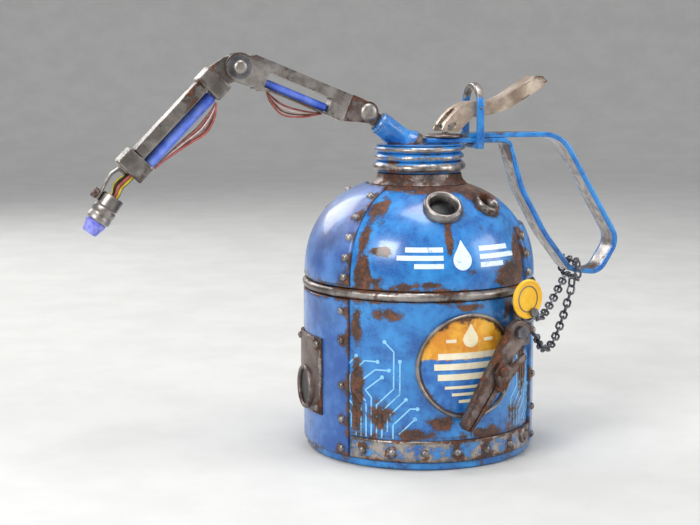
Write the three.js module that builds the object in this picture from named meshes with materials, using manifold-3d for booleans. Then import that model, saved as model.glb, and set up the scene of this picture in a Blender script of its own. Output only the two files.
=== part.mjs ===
// Thumb-pump oiler can: riveted sheet-metal tank, screw-on pump head with strap handle,
// jointed three-link spout, keeper chain, round tag and spring clip.
// Millimetres, +Z up. The origin is the centre of the tank's underside.
// The spout reaches toward -X, the handle is on +X, the badge is on the front at -Y.
import * as THREE from 'three';
import { mergeVertices } from 'three/addons/utils/BufferGeometryUtils.js';
import Module from 'manifold-3d';

const wasm = await Module();
wasm.setup();

// ---- driving dimensions ------------------------------------------------------------------
const GAP = 0.3; // clearance between separate solids that meet
const ROUND = 36; // segments round the tank

// Tank
const TANK_R = 50;
const SHEET = 1;
const PAN_RIM_TOP = 3;
const BEAD_Z = 73;
const BEAD_R = 2;
const DOME_BASE_Z = 75.4;
const DOME_R = 49.7;
const DOME_H = 43.4;
const DOME_POWER = 2.35;
const NECK_R = 18.4;
const NECK_BORE = 16.6;
const COLLAR_Z = 121.3;
const CAP_TOP = 133.5;
const CAP_R = 20.4;

// Reinforcing plates, azimuths in degrees from the front (-Y), positive toward the handle
const PLATE_T = 1;
const SIDE_PLATE = { from: 54, to: 126, bottom: PAN_RIM_TOP + GAP, top: 70.7 };
const LEFT_DOME_PLATE = { from: -126, to: -54, bottom: 76.2, top: 115.5 };
const RIGHT_DOME_PLATE = { from: 46, to: 126, bottom: 76.2, top: 99 };
const BAND = { from: -53, to: 53, bottom: PAN_RIM_TOP + GAP, top: 12.5 };
const RIVET_R = 1.7;
const RIVET_H = 1.1;

// Fittings on the tank
const PORT = {
  azimuth: -88, plateBottom: 18.4, plateTop: 52, halfAngle: 16.5, ringZ: 28.3, ringR: 9.6, ringH: 2.4,
};
const PORTHOLES = {
  front: { azimuth: -3.3, z: 108.4, outer: 8.3, inner: 5.6 },
  side: { azimuth: 32.5, z: 108.6, outer: 6, inner: 3.8 },
};
const BADGE = { azimuth: 6.3, z: 43.7, radius: 22.4, rim: 1.6 };

// Pump, on a vertical axis off the centre of the cap
const PUMP_X = 12;
const GLAND_X = 11.2;
const BARREL_R = 4.2;
const BARREL_BORE = 3.4;
const BARREL_BOTTOM = 62;
const PISTON_Z = 76;
const ROD_R = 1.4;
const ROD_TOP = 142.2;
const ROD_PIN = { z: 140.9, radius: 1, length: 12 };

// Thumb lever and its arch
const ARCH = { x: 25, apex: 160.3, foot: 131.2, legY: 9, thickness: 2.4, width: 3.2 };
const LEVER_PIVOT = { x: 25, z: 149, radius: 0.8 };
const LEVER_W = 13;
const LEVER_SHEET = 1.5;

// Handle strap
const STRAP_W = 13;
const STRAP_T = 2.2;
const STRAP_LOWER_Z = 134.95;
const STRAP_UPPER_Z = 137.2;

// Spout arm: pivots are points in the XZ plane
const SHOULDER = { x: -25, z: 147.6 };
const ELBOW = { x: -80.9, z: 166.7 };
const WRIST = { x: -135.6, z: 111.1 };
const UPPER_ARM_TILT = 22;
const FOREARM_TILT = 46;
const NOZZLE_TILT = 54.4;
const ARM_W = 9;
const FOREARM_W = 11;

// Clip and tag hang on the anchor. Each lies in a vertical plane: the azimuth it faces, its
// distance from the tank's axis, and the place of its pin in that plane
const CLIP = { azimuth: 14, distance: 56, u: 13, z: 57.3, lean: 123.7, pivot: 18.3, length: 46.8 };
const TAG = {
  azimuth: 22, distance: 58.5, u: 12.1, z: 65, radius: 8.3, offsetU: -2.8, offsetZ: 5.9, hole: 1.2,
};
const ANCHOR = { from: 33.4, to: 43, bottom: 50.5, top: 67 };

// Keeper chain, points along its two strands
const CHAIN_D = 4.6;
const CHAIN_SHORT = [
  [69.9, -3.2, 72.4], [66.6, -7.2, 70.8], [62.8, -11.6, 68.4], [54.6, -21.2, 63.2], [46.6, -31, 60],
  [41, -38.4, 60.4], [37.2, -44.2, 63],
];
const CHAIN_SLACK = [
  [76.4, 3.4, 70.2], [76, 3.3, 65.4], [73, 0.2, 60.4], [69.6, -3.9, 56], [65.6, -8.7, 52],
  [61.6, -13.4, 48.2], [56.6, -19.4, 45], [50.4, -26.6, 44], [44.4, -33.8, 47], [40.4, -39.4, 51.2],
  [37, -43.6, 54.6],
];
const RING = { u: 12.4, z: 64, setBack: 2.5, radius: 3.4, wire: 1 };

// ---- materials ---------------------------------------------------------------------------
const finish = (color, roughness, metalness) => {
  return new THREE.MeshStandardMaterial({ color, roughness, metalness });
};
const bluePaint = finish(0x2f78c4, 0.45, 0.3);
const violetPaint = finish(0x5a6fb4, 0.4, 0.4);
const wornSteel = finish(0x8d8884, 0.45, 0.85);
const darkSteel = finish(0x4b4a4c, 0.5, 0.8);
const rustySteel = finish(0x7a4a30, 0.75, 0.5);
const beigeSteel = finish(0xb09a88, 0.5, 0.7);
const blueTube = finish(0x5578d8, 0.35, 0.2);
const violetNozzle = finish(0x6f6fcf, 0.35, 0.3);
const darkGlass = finish(0x12161c, 0.1, 0);
const brass = finish(0xb08d4a, 0.4, 0.9);
const leather = finish(0x5c3b22, 0.8, 0);
const rubber = finish(0x1c1c1c, 0.8, 0);
const wireRed = finish(0xb0555a, 0.6, 0);
const wireYellow = finish(0xc9b22c, 0.6, 0);
const tagYellow = finish(0xf2b61e, 0.4, 0.1);
const badgeFace = finish(0x2a6fc0, 0.4, 0.3);

// ---- geometry helpers --------------------------------------------------------------------
const rad = THREE.MathUtils.degToRad;

// Keeps position only, merges shared corners, drops empty triangles and turns faces outward.
function closed(geometry) {
  const bare = geometry.clone();
  for (const key of Object.keys(bare.attributes)) {
    if (key !== 'position') {
      bare.deleteAttribute(key);
    }
  }
  const merged = mergeVertices(bare, 1e-4);
  const position = merged.attributes.position;
  const index = [];
  let volume = 0;
  const [a, b, c] = [new THREE.Vector3(), new THREE.Vector3(), new THREE.Vector3()];
  for (let i = 0; i < merged.index.count; i += 3) {
    const [ia, ib, ic] = [0, 1, 2].map((k) => merged.index.getX(i + k));
    if (ia === ib || ib === ic || ic === ia) {
      continue;
    }
    index.push(ia, ib, ic);
    a.fromBufferAttribute(position, ia);
    b.fromBufferAttribute(position, ib);
    c.fromBufferAttribute(position, ic);
    volume += a.dot(b.cross(c));
  }
  if (volume < 0) {
    index.reverse();
  }
  const result = new THREE.BufferGeometry();
  result.setAttribute('position', position);
  result.setIndex(index);
  return result;
}

function solid(geometry) {
  const clean = closed(geometry);
  const vertProperties = new Float32Array(clean.attributes.position.array);
  const triVerts = new Uint32Array(clean.index.array);
  return new wasm.Manifold(new wasm.Mesh({ numProp: 3, vertProperties, triVerts }));
}

function fromSolid(body) {
  const mesh = body.getMesh();
  const geometry = new THREE.BufferGeometry();
  geometry.setAttribute('position', new THREE.BufferAttribute(new Float32Array(mesh.vertProperties), 3));
  geometry.setIndex(new THREE.BufferAttribute(new Uint32Array(mesh.triVerts), 1));
  return geometry;
}

function joined(...geometries) {
  return fromSolid(geometries.map(solid).reduce((sum, next) => sum.add(next)));
}

function cut(base, ...tools) {
  return fromSolid(tools.map(solid).reduce((rest, tool) => rest.subtract(tool), solid(base)));
}

// Solid of revolution about +Z from [radius, z] pairs.
function revolved(profile, segments = ROUND) {
  const points = profile.map(([r, z]) => new THREE.Vector2(r, z));
  return new THREE.LatheGeometry(points, segments).rotateX(Math.PI / 2);
}

function ring(inner, outer, bottom, top, segments = ROUND) {
  return revolved([[inner, bottom], [outer, bottom], [outer, top], [inner, top], [inner, bottom]], segments);
}

// Bar of circular section along a unit direction, centred on a point.
function rod(centre, direction, radius, length, sides = 12, endRadius = radius) {
  const axis = new THREE.Vector3(...direction).normalize();
  const turn = new THREE.Quaternion().setFromUnitVectors(new THREE.Vector3(0, 1, 0), axis);
  const cylinder = new THREE.CylinderGeometry(endRadius, radius, length, sides);
  return cylinder.applyQuaternion(turn).translate(...centre);
}

function box(x0, x1, y0, y1, z0, z1) {
  const size = new THREE.BoxGeometry(x1 - x0, y1 - y0, z1 - z0);
  return size.translate((x0 + x1) / 2, (y0 + y1) / 2, (z0 + z1) / 2);
}

// Outline in the XZ plane, extruded to a width centred on y.
function slab(outline, width, y = 0, curveSegments = 6) {
  const shape = outline instanceof THREE.Shape
    ? outline
    : new THREE.Shape(outline.map(([x, z]) => new THREE.Vector2(x, z)));
  const depth = { depth: width, bevelEnabled: false, curveSegments };
  return new THREE.ExtrudeGeometry(shape, depth).rotateX(Math.PI / 2).translate(0, y + width / 2, 0);
}

// Curved sheet on the tank between two azimuths.
function sector(inner, outer, from, to, bottom, top, segments) {
  const shape = new THREE.Shape();
  const [start, end] = [rad(from - 90), rad(to - 90)];
  shape.absarc(0, 0, outer, start, end, false);
  shape.absarc(0, 0, inner, end, start, true);
  const depth = { depth: top - bottom, bevelEnabled: false, curveSegments: segments };
  return new THREE.ExtrudeGeometry(shape, depth).translate(0, 0, bottom);
}

// Round cord through points, as a many-sided tube.
function cord(points, radius, steps, sides = 8) {
  const section = new THREE.Shape();
  for (let i = 0; i < sides; i += 1) {
    const angle = (2 * Math.PI * i) / sides;
    const place = [radius * Math.cos(angle), radius * Math.sin(angle)];
    if (i === 0) {
      section.moveTo(...place);
    } else {
      section.lineTo(...place);
    }
  }
  section.closePath();
  const path = new THREE.CatmullRomCurve3(points.map((p) => new THREE.Vector3(...p)));
  return new THREE.ExtrudeGeometry(section, { steps, extrudePath: path, bevelEnabled: false });
}

// Strap outline: a 2D path with thickness, offset half to each side.
function strapOutline(path, thickness) {
  const left = [];
  const right = [];
  path.forEach((point, i) => {
    const before = path[Math.max(i - 1, 0)];
    const after = path[Math.min(i + 1, path.length - 1)];
    const along = after.clone().sub(before).normalize();
    const side = new THREE.Vector2(-along.y, along.x).multiplyScalar(thickness / 2);
    left.push(point.clone().add(side));
    right.unshift(point.clone().sub(side));
  });
  return new THREE.Shape([...left, ...right]);
}

// Polyline whose corners are rounded by arcs: corners are [x, z, radius].
function roundedPath(corners, arcSteps = 5) {
  const points = corners.map(([x, z]) => new THREE.Vector2(x, z));
  const path = [points[0]];
  for (let i = 1; i < points.length - 1; i += 1) {
    const back = points[i - 1].clone().sub(points[i]).normalize();
    const ahead = points[i + 1].clone().sub(points[i]).normalize();
    const half = Math.acos(THREE.MathUtils.clamp(back.dot(ahead), -1, 1)) / 2;
    const reach = corners[i][2] / Math.tan(half);
    const start = points[i].clone().addScaledVector(back, reach);
    const end = points[i].clone().addScaledVector(ahead, reach);
    const bisector = back.add(ahead).normalize();
    const centre = points[i].clone().addScaledVector(bisector, corners[i][2] / Math.sin(half));
    const from = start.sub(centre);
    const to = end.sub(centre);
    const turn = Math.atan2(from.x * to.y - from.y * to.x, from.dot(to));
    for (let k = 0; k <= arcSteps; k += 1) {
      path.push(from.clone().rotateAround(new THREE.Vector2(), (turn * k) / arcSteps).add(centre));
    }
  }
  path.push(points[points.length - 1]);
  return path;
}

const oiler = new THREE.Group();

function add(name, geometry, material, parent = oiler) {
  const mesh = new THREE.Mesh(closed(geometry), material);
  mesh.name = name;
  parent.add(mesh);
}

// Horizontal unit vector at an azimuth, and its neighbour to the right.
const outward = (azimuth) => [Math.sin(rad(azimuth)), -Math.cos(rad(azimuth)), 0];

// ---- tank --------------------------------------------------------------------------------
// The dome's radius at a height, a curve fuller than an ellipse.
function domeRadius(z) {
  const t = Math.max(z - DOME_BASE_Z, 0) / DOME_H;
  return DOME_R * Math.max(1 - t ** DOME_POWER, 0) ** (1 / DOME_POWER);
}

function domeSlope(z) {
  const t = (z - DOME_BASE_Z) / DOME_H;
  const outwardPart = (domeRadius(z) / DOME_R) ** (DOME_POWER - 1) / DOME_R;
  return Math.atan2(t ** (DOME_POWER - 1) / DOME_H, outwardPart);
}

// Points [r, z] down the dome, offset outward, between two heights.
function domeLine(bottom, top, offset, steps) {
  const line = [];
  for (let i = 0; i <= steps; i += 1) {
    const z = THREE.MathUtils.lerp(bottom, top, Math.sin((i / steps) * (Math.PI / 2)));
    const slope = domeSlope(z);
    line.push([domeRadius(z) + offset * Math.cos(slope), z + offset * Math.sin(slope)]);
  }
  return line;
}

function domeShell(bottom, top, inside, outside, steps = 8) {
  const outer = domeLine(bottom, top, outside, steps);
  const inner = domeLine(bottom, top, inside, steps).reverse();
  return revolved([...outer, ...inner, outer[0]]);
}

// Frame of a round fitting on the dome: its centre and outward direction.
function domeSeat({ azimuth, z }) {
  const flat = outward(azimuth);
  const slope = domeSlope(z);
  const normal = new THREE.Vector3(flat[0] * Math.cos(slope), flat[1] * Math.cos(slope), Math.sin(slope));
  const centre = new THREE.Vector3(flat[0] * domeRadius(z), flat[1] * domeRadius(z), z);
  return { normal, centre };
}

function onSeat(geometry, { normal, centre }) {
  const turn = new THREE.Quaternion().setFromUnitVectors(new THREE.Vector3(0, 0, 1), normal);
  return geometry.applyQuaternion(turn).translate(centre.x, centre.y, centre.z);
}

function buildTank() {
  const inner = TANK_R - SHEET;
  const lip = inner - GAP;
  add('base_pan', revolved([
    [0, 0], [TANK_R - 0.6, 0], [TANK_R, 0.6], [TANK_R, PAN_RIM_TOP], [lip, PAN_RIM_TOP],
    [lip, 8], [lip - SHEET, 8], [lip - SHEET, 1.2], [0, 1.2],
  ]), bluePaint);
  const beadBottom = BEAD_Z - BEAD_R;
  add('tank_wall', ring(inner, TANK_R, PAN_RIM_TOP + GAP, beadBottom - GAP), bluePaint);
  const bead = [[48.9, beadBottom]];
  for (let i = 0; i <= 6; i += 1) {
    const angle = rad(-90 + (180 * i) / 6);
    bead.push([TANK_R - 0.3 + BEAD_R * Math.cos(angle), BEAD_Z + BEAD_R * Math.sin(angle)]);
  }
  bead.push([48.9, BEAD_Z + BEAD_R], [48.9, beadBottom]);
  add('seam_bead', revolved(bead), wornSteel);

  const holes = Object.values(PORTHOLES).map((hole) => {
    const drillR = hole.inner + SHEET;
    const drill = new THREE.CylinderGeometry(drillR, drillR, 12, 24).rotateX(Math.PI / 2);
    return onSeat(drill, domeSeat(hole));
  });
  add('dome', cut(domeShell(DOME_BASE_Z, 117.2, -SHEET, 0), ...holes), bluePaint);
  const thread = [[NECK_BORE, 117.4], [NECK_R, 117.4], [NECK_R, COLLAR_Z - GAP], [17.1, COLLAR_Z - GAP]];
  for (let turn = 0; turn < 3; turn += 1) {
    const z = COLLAR_Z + 1 + turn * 2.4;
    thread.push([17.1, z], [17.5, z + 0.6], [17.5, z + 1.2], [17.1, z + 1.8]);
  }
  thread.push([17.1, 129.4], [NECK_BORE, 129.4], [NECK_BORE, 117.4]);
  add('threaded_neck', revolved(thread, 24), rustySteel);
  add('neck_gasket', ring(NECK_BORE, 17.2, 129.7, 130.6, 24), rubber);
}

// Low domed rivet head sunk into the sheet it holds.
function rivetHead(centre, direction) {
  const axis = new THREE.Vector3(...direction);
  const point = new THREE.Vector3(...centre).addScaledVector(axis, RIVET_H / 2 - 0.4);
  return rod(point.toArray(), direction, RIVET_R, RIVET_H + 0.8, 6, RIVET_R * 0.6);
}

function wallRivet(azimuth, z, radius) {
  const flat = outward(azimuth);
  return rivetHead([flat[0] * radius, flat[1] * radius, z], flat);
}

function domeRivet(azimuth, z, offset) {
  const { normal, centre } = domeSeat({ azimuth, z });
  return rivetHead(centre.addScaledVector(normal, offset).toArray(), normal.toArray());
}

// Azimuths inset from both edges of a plate.
function edgeRows(plate, inset) {
  return [plate.from + inset, plate.to - inset];
}

function wedge({ from, to }) {
  return sector(1, 80, from, to, 60, 130, 4);
}

function buildPlates() {
  const inner = TANK_R + GAP;
  const outer = inner + PLATE_T;
  const rows = [8, 19.5, 33.5, 50, 64.5];
  for (const side of ['left', 'right']) {
    const { from, to, bottom, top } = SIDE_PLATE;
    const plate = side === 'left' ? { from: -to, to: -from } : { from, to };
    const heads = edgeRows(plate, 4).flatMap((azimuth) => rows.map((z) => wallRivet(azimuth, z, outer)));
    const sheet = sector(inner, outer, plate.from, plate.to, bottom, top, 10);
    add(`side_plate_${side}`, joined(sheet, ...heads), side === 'left' ? violetPaint : bluePaint);
  }
  const domePlates = { left: LEFT_DOME_PLATE, right: RIGHT_DOME_PLATE };
  for (const [side, plate] of Object.entries(domePlates)) {
    const sheet = solid(domeShell(plate.bottom, plate.top, GAP, GAP + PLATE_T)).intersect(solid(wedge(plate)));
    const count = side === 'left' ? 5 : 3;
    const heads = [];
    for (let i = 0; i < count; i += 1) {
      const z = THREE.MathUtils.lerp(plate.bottom + 3.5, plate.top - 4, i / (count - 1));
      const inset = 2.6 / (domeRadius(z) * rad(1));
      heads.push(...edgeRows(plate, inset).map((azimuth) => domeRivet(azimuth, z, GAP + PLATE_T)));
    }
    const geometry = fromSolid(heads.map(solid).reduce((sum, head) => sum.add(head), sheet));
    add(`dome_plate_${side}`, geometry, side === 'left' ? violetPaint : bluePaint);
  }
  const bandHeads = [-46, -31, -15.5, 0, 15.5, 31].map((azimuth) => wallRivet(azimuth, 7.5, outer));
  const eye = outward(44);
  const eyeCentre = [eye[0] * (outer + 0.4), eye[1] * (outer + 0.4), 9];
  const screw = [
    rod(eyeCentre, eye, 3.6, 1.8, 12),
    rod([eye[0] * 52.6, eye[1] * 52.6, 9], eye, 1.9, 2.4, 8, 1.5),
  ];
  const bandSheet = sector(inner, outer, BAND.from, BAND.to, BAND.bottom, BAND.top, 16);
  add('base_band', joined(bandSheet, ...bandHeads, ...screw), bluePaint);
}

function buildPort() {
  const inner = TANK_R + 2 * GAP + PLATE_T;
  const outer = inner + PLATE_T;
  const { azimuth, halfAngle, plateBottom, plateTop, ringZ, ringR, ringH } = PORT;
  const sheet = sector(inner, outer, azimuth - halfAngle, azimuth + halfAngle, plateBottom, plateTop, 6);
  const heads = [-halfAngle + 3.2, halfAngle - 3.2].flatMap((side) => [plateBottom + 3, plateTop - 3]
    .map((z) => wallRivet(azimuth + side, z, outer)));
  const flat = outward(azimuth);
  const middle = outer + ringH / 2 - 0.9;
  const centre = [flat[0] * middle, flat[1] * middle, ringZ];
  const collar = rod(centre, flat, ringR, ringH, 24);
  const bore = rod(centre, flat, ringR - 1.9, 10, 24);
  add('port_plate', cut(joined(sheet, collar, ...heads), bore), rustySteel);
  const glassCentre = [flat[0] * (inner + 0.7), flat[1] * (inner + 0.7), ringZ];
  const glass = rod(glassCentre, flat, ringR - 1.9 - GAP, 1, 24);
  add('port_glass', glass, darkGlass);
}

function buildPortholes() {
  for (const [name, hole] of Object.entries(PORTHOLES)) {
    const seat = domeSeat(hole);
    const sleeveR = hole.inner + SHEET - GAP;
    const flange = revolved([
      [hole.inner, -3], [hole.outer, -3], [hole.outer, 1.8], [hole.outer - 1, 2.8], [hole.inner + 0.5, 2.8],
      [hole.inner, 2.2], [hole.inner, -3],
    ], 18);
    const sleeve = ring(hole.inner, sleeveR, -3, 2, 18);
    const seated = cut(onSeat(flange, seat), domeShell(DOME_BASE_Z, 117.2, -6, GAP));
    add(`porthole_${name}_bezel`, joined(seated, onSeat(sleeve, seat)), wornSteel);
    const pane = revolved([[0, -1.4], [hole.inner - GAP, -1.4], [hole.inner - GAP, -0.2], [0, 0.2]], 18);
    add(`porthole_${name}_glass`, onSeat(pane, seat), darkGlass);
  }
}

function buildBadge() {
  const { azimuth, z, radius, rim } = BADGE;
  const flat = outward(azimuth);
  const centre = [flat[0] * TANK_R, flat[1] * TANK_R, z];
  const disc = (r) => solid(rod(centre, flat, r, 30, 24));
  const layer = (inner, outer) => solid(sector(inner, outer, azimuth - 32, azimuth + 32, z - 25, z + 25, 12));
  const inner = TANK_R + GAP;
  const rimSolid = layer(inner, inner + 2).intersect(disc(radius)).subtract(disc(radius - rim));
  add('badge_rim', fromSolid(rimSolid), wornSteel);
  add('badge_disc', fromSolid(layer(inner, inner + 0.8).intersect(disc(radius - rim - GAP))), badgeFace);
}

// ---- pump head ---------------------------------------------------------------------------
// Stub axis: rises from the cap to the shoulder.
const STUB_BASE = new THREE.Vector3(-5.4, 0, 133.2);
const STUB_DIR = new THREE.Vector3(SHOULDER.x - STUB_BASE.x, 0, SHOULDER.z - STUB_BASE.z).normalize();

function buildCap() {
  const ridges = [[18.6, COLLAR_Z]];
  const rows = [[COLLAR_Z, 5, CAP_R], [126.3, 3.8, 19.7], [130.1, 3.4, 19.9]];
  for (const [bottom, height, radius] of rows) {
    for (const step of [0.15, 0.5, 0.85]) {
      const bulge = step === 0.5 ? radius : radius - 0.6;
      ridges.push([bulge, bottom + height * step]);
    }
    ridges.push([18.7, bottom + height]);
  }
  const profile = [
    [0, 131], [17.9, 131], [17.9, COLLAR_Z], ...ridges.slice(0, -1), [19.2, CAP_TOP], [0, CAP_TOP],
  ];
  const rodHole = rod([PUMP_X, 0, CAP_TOP], [0, 0, 1], ROD_R + 0.4, 12, 12);
  const oilHole = rod([-6, 0, CAP_TOP], [0, 0, 1], 1.6, 12, 12);
  add('screw_cap', cut(revolved(profile, 28), rodHole, oilHole), bluePaint);
  const bottom = STRAP_LOWER_Z + STRAP_T / 2 + GAP;
  const gland = revolved([
    [0, bottom], [8.4, bottom], [8.4, bottom + 0.8], [7.6, bottom + 1.4], [0, bottom + 1.4],
  ], 24);
  add('pump_gland', cut(gland.translate(GLAND_X, 0, 0), rodHole.clone().translate(0, 0, 4)), rustySteel);
}

function buildStub() {
  const flare = [[0, -2.5], [7.4, -2.5], [6.6, 1.5], [5.2, 3.5], [5.2, 16], [4.2, 17.5], [2.6, 18], [0, 18]];
  const turn = new THREE.Quaternion().setFromUnitVectors(new THREE.Vector3(0, 0, 1), STUB_DIR);
  const tube = revolved(flare, 16).applyQuaternion(turn).translate(...STUB_BASE.toArray());
  const tongue = rod([SHOULDER.x, 0, SHOULDER.z], [0, 1, 0], 4.4, 3.6, 20);
  const reach = STUB_BASE.distanceTo(new THREE.Vector3(SHOULDER.x, 0, SHOULDER.z));
  const web = box(-3, 3, -1.8, 1.8, 15, reach).applyQuaternion(turn).translate(...STUB_BASE.toArray());
  const pinHole = rod([SHOULDER.x, 0, SHOULDER.z], [0, 1, 0], 1.9, 12, 16);
  const under = box(-40, 20, -20, 20, 120, CAP_TOP + GAP);
  const bore = rod(STUB_BASE.clone().addScaledVector(STUB_DIR, 4).toArray(), STUB_DIR.toArray(), 1.6, 20, 10);
  add('spout_stub', cut(joined(tube, tongue, web), pinHole, under, bore), bluePaint);
}

function buildHandle() {
  const lower = STRAP_LOWER_Z;
  const upper = STRAP_UPPER_Z;
  const path = roundedPath([
    [21.6, upper, 0], [65.5, upper, 15], [94.6, 88.7, 9], [85.5, 73.9, 7], [71.3, 75.6, 8],
    [58, 92.8, 50], [46.5, 113.5, 40], [40, lower, 4], [2.5, lower, 0],
  ]);
  const loop = slab(strapOutline(path, STRAP_T), STRAP_W);
  const braze = box(21.8, 36.6, -STRAP_W / 2 + 0.6, STRAP_W / 2 - 0.6, lower, upper);
  const rodHole = rod([PUMP_X, 0, lower], [0, 0, 1], ROD_R + 1, 8, 12);
  const tail = box(-10, 1.4, -20, 20, lower - 4, lower + 4);
  add('handle_strap', cut(joined(loop, braze), rodHole, tail), bluePaint);
}

function buildArch() {
  const { x, apex, foot, legY, thickness, width } = ARCH;
  const outer = legY + thickness / 2;
  const inner = legY - thickness / 2;
  const arch = new THREE.Shape();
  arch.moveTo(-outer, foot);
  arch.lineTo(outer, foot);
  arch.lineTo(outer, apex - outer);
  arch.absarc(0, apex - outer, outer, 0, Math.PI, false);
  const window = new THREE.Path();
  window.moveTo(-inner, foot + 2.1);
  window.lineTo(inner, foot + 2.1);
  window.lineTo(inner, apex - outer);
  window.absarc(0, apex - outer, inner, 0, Math.PI, false);
  arch.holes.push(window);
  const loop = new THREE.ExtrudeGeometry(arch, { depth: width, bevelEnabled: false, curveSegments: 12 });
  loop.rotateX(Math.PI / 2).rotateZ(Math.PI / 2).translate(x - width / 2, 0, 0);
  const { x: px, z: pz, radius } = LEVER_PIVOT;
  add('lever_arch', cut(loop, rod([px, 0, pz], [0, 1, 0], radius + GAP, 40, 12)), bluePaint);
  add('lever_pin', rod([px, 0, pz], [0, 1, 0], radius, 2 * outer, 12), wornSteel);
}

// Thumb lever: inverted channel, pivoted in the arch; its forked nose straddles the plunger rod
// and is slotted over the rod's cross pin.
function buildLever() {
  const crest = [
    [8.2, 139.8], [9.9, 143], [13.2, 146.6], [16.4, 149.5], [20.5, 151.6], [24, 152.2], [34, 152.4],
    [38.4, 154.4], [52.8, 163.2], [55.4, 163.1], [57.6, 160.9],
  ];
  const belly = [
    [56.5, 158.8], [40.4, 149.2], [36.5, 147.6], [29.5, 146], [22.5, 145.2], [15.9, 138.9], [8.6, 138.9],
  ];
  const hollow = [
    [0, 132], [8.5, 141.2], [11, 142.4], [14.2, 145.4], [17.2, 148.1], [21, 150.1], [24.2, 150.7],
    [34.4, 150.9], [39.2, 153], [55, 162.4], [60, 157.6], [42, 130],
  ];
  const channel = cut(slab([...crest, ...belly], LEVER_W), slab(hollow, LEVER_W - 2 * LEVER_SHEET));
  const fork = box(0, 15.6, -2.6, 2.6, 136, 150);
  const pivotHole = rod([LEVER_PIVOT.x, 0, LEVER_PIVOT.z], [0, 1, 0], LEVER_PIVOT.radius + GAP, 20, 12);
  const clear = ROD_PIN.radius + 0.4;
  const away = new THREE.Vector2(PUMP_X - LEVER_PIVOT.x, ROD_PIN.z - LEVER_PIVOT.z).normalize();
  const slotEnd = [PUMP_X - away.x * 1.6, 0, ROD_PIN.z - away.y * 1.6];
  const slot = [
    rod([PUMP_X, 0, ROD_PIN.z], [0, 1, 0], clear, 20, 12),
    rod(slotEnd, [0, 1, 0], clear, 20, 12),
    rod([(PUMP_X + slotEnd[0]) / 2, 0, (ROD_PIN.z + slotEnd[2]) / 2], [0, 1, 0], clear, 20, 12),
  ];
  add('thumb_lever', cut(channel, fork, pivotHole, ...slot), beigeSteel);
}

function buildPump() {
  const top = 130.7;
  const barrel = revolved([
    [BARREL_BORE, BARREL_BOTTOM + 5], [BARREL_BORE, top], [BARREL_R, top], [BARREL_R, BARREL_BOTTOM],
    [1.2, BARREL_BOTTOM], [1.2, BARREL_BOTTOM + 2], [2.6, BARREL_BOTTOM + 5], [BARREL_BORE, BARREL_BOTTOM + 5],
  ], 20);
  add('pump_barrel', barrel.translate(PUMP_X, 0, 0), brass);
  const ball = new THREE.SphereGeometry(1.7, 10, 8);
  add('inlet_ball', ball.translate(PUMP_X, 0, BARREL_BOTTOM + 5.5), wornSteel);
  const tube = cord([
    [PUMP_X, 0, BARREL_BOTTOM - GAP], [PUMP_X, 0, 45], [14.2, 0, 28], [18, 0, 12], [18.6, 0, 9],
  ], 2, 12);
  add('dip_tube', tube, brass);
  add('strainer', ring(0.6, 4, 3.6, 8.4, 16).translate(18.6, 0, 0), brass);
  add('plunger', joined(
    rod([PUMP_X, 0, (PISTON_Z + ROD_TOP) / 2], [0, 0, 1], ROD_R, ROD_TOP - PISTON_Z, 12),
    rod([PUMP_X, 0, PISTON_Z + 1], [0, 0, 1], BARREL_BORE - 0.4, 2, 16),
    rod([PUMP_X, 0, PISTON_Z - 2.4], [0, 0, 1], 1.2, 5, 10),
    rod([PUMP_X, 0, ROD_PIN.z], [0, 1, 0], ROD_PIN.radius, ROD_PIN.length, 10),
  ), wornSteel);
  const cup = revolved([
    [1.5, PISTON_Z - 1.8], [1.5, PISTON_Z - GAP], [BARREL_BORE - 0.5, PISTON_Z - GAP],
    [BARREL_BORE - 0.25, PISTON_Z - 4], [BARREL_BORE - 0.9, PISTON_Z - 4], [BARREL_BORE - 1.1, PISTON_Z - 1.8],
    [1.5, PISTON_Z - 1.8],
  ], 16);
  add('piston_cup', cup.translate(PUMP_X, 0, 0), leather);
  const turns = 6;
  const [low, high] = [PISTON_Z + 2.7, 130];
  const coil = [];
  for (let i = 0; i <= turns * 8; i += 1) {
    const angle = (i / 8) * 2 * Math.PI;
    const height = low + ((high - low) * i) / (turns * 8);
    coil.push([PUMP_X + 2.45 * Math.cos(angle), 2.45 * Math.sin(angle), height]);
  }
  add('return_spring', cord(coil, 0.4, turns * 8, 4), wornSteel);
}

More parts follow.
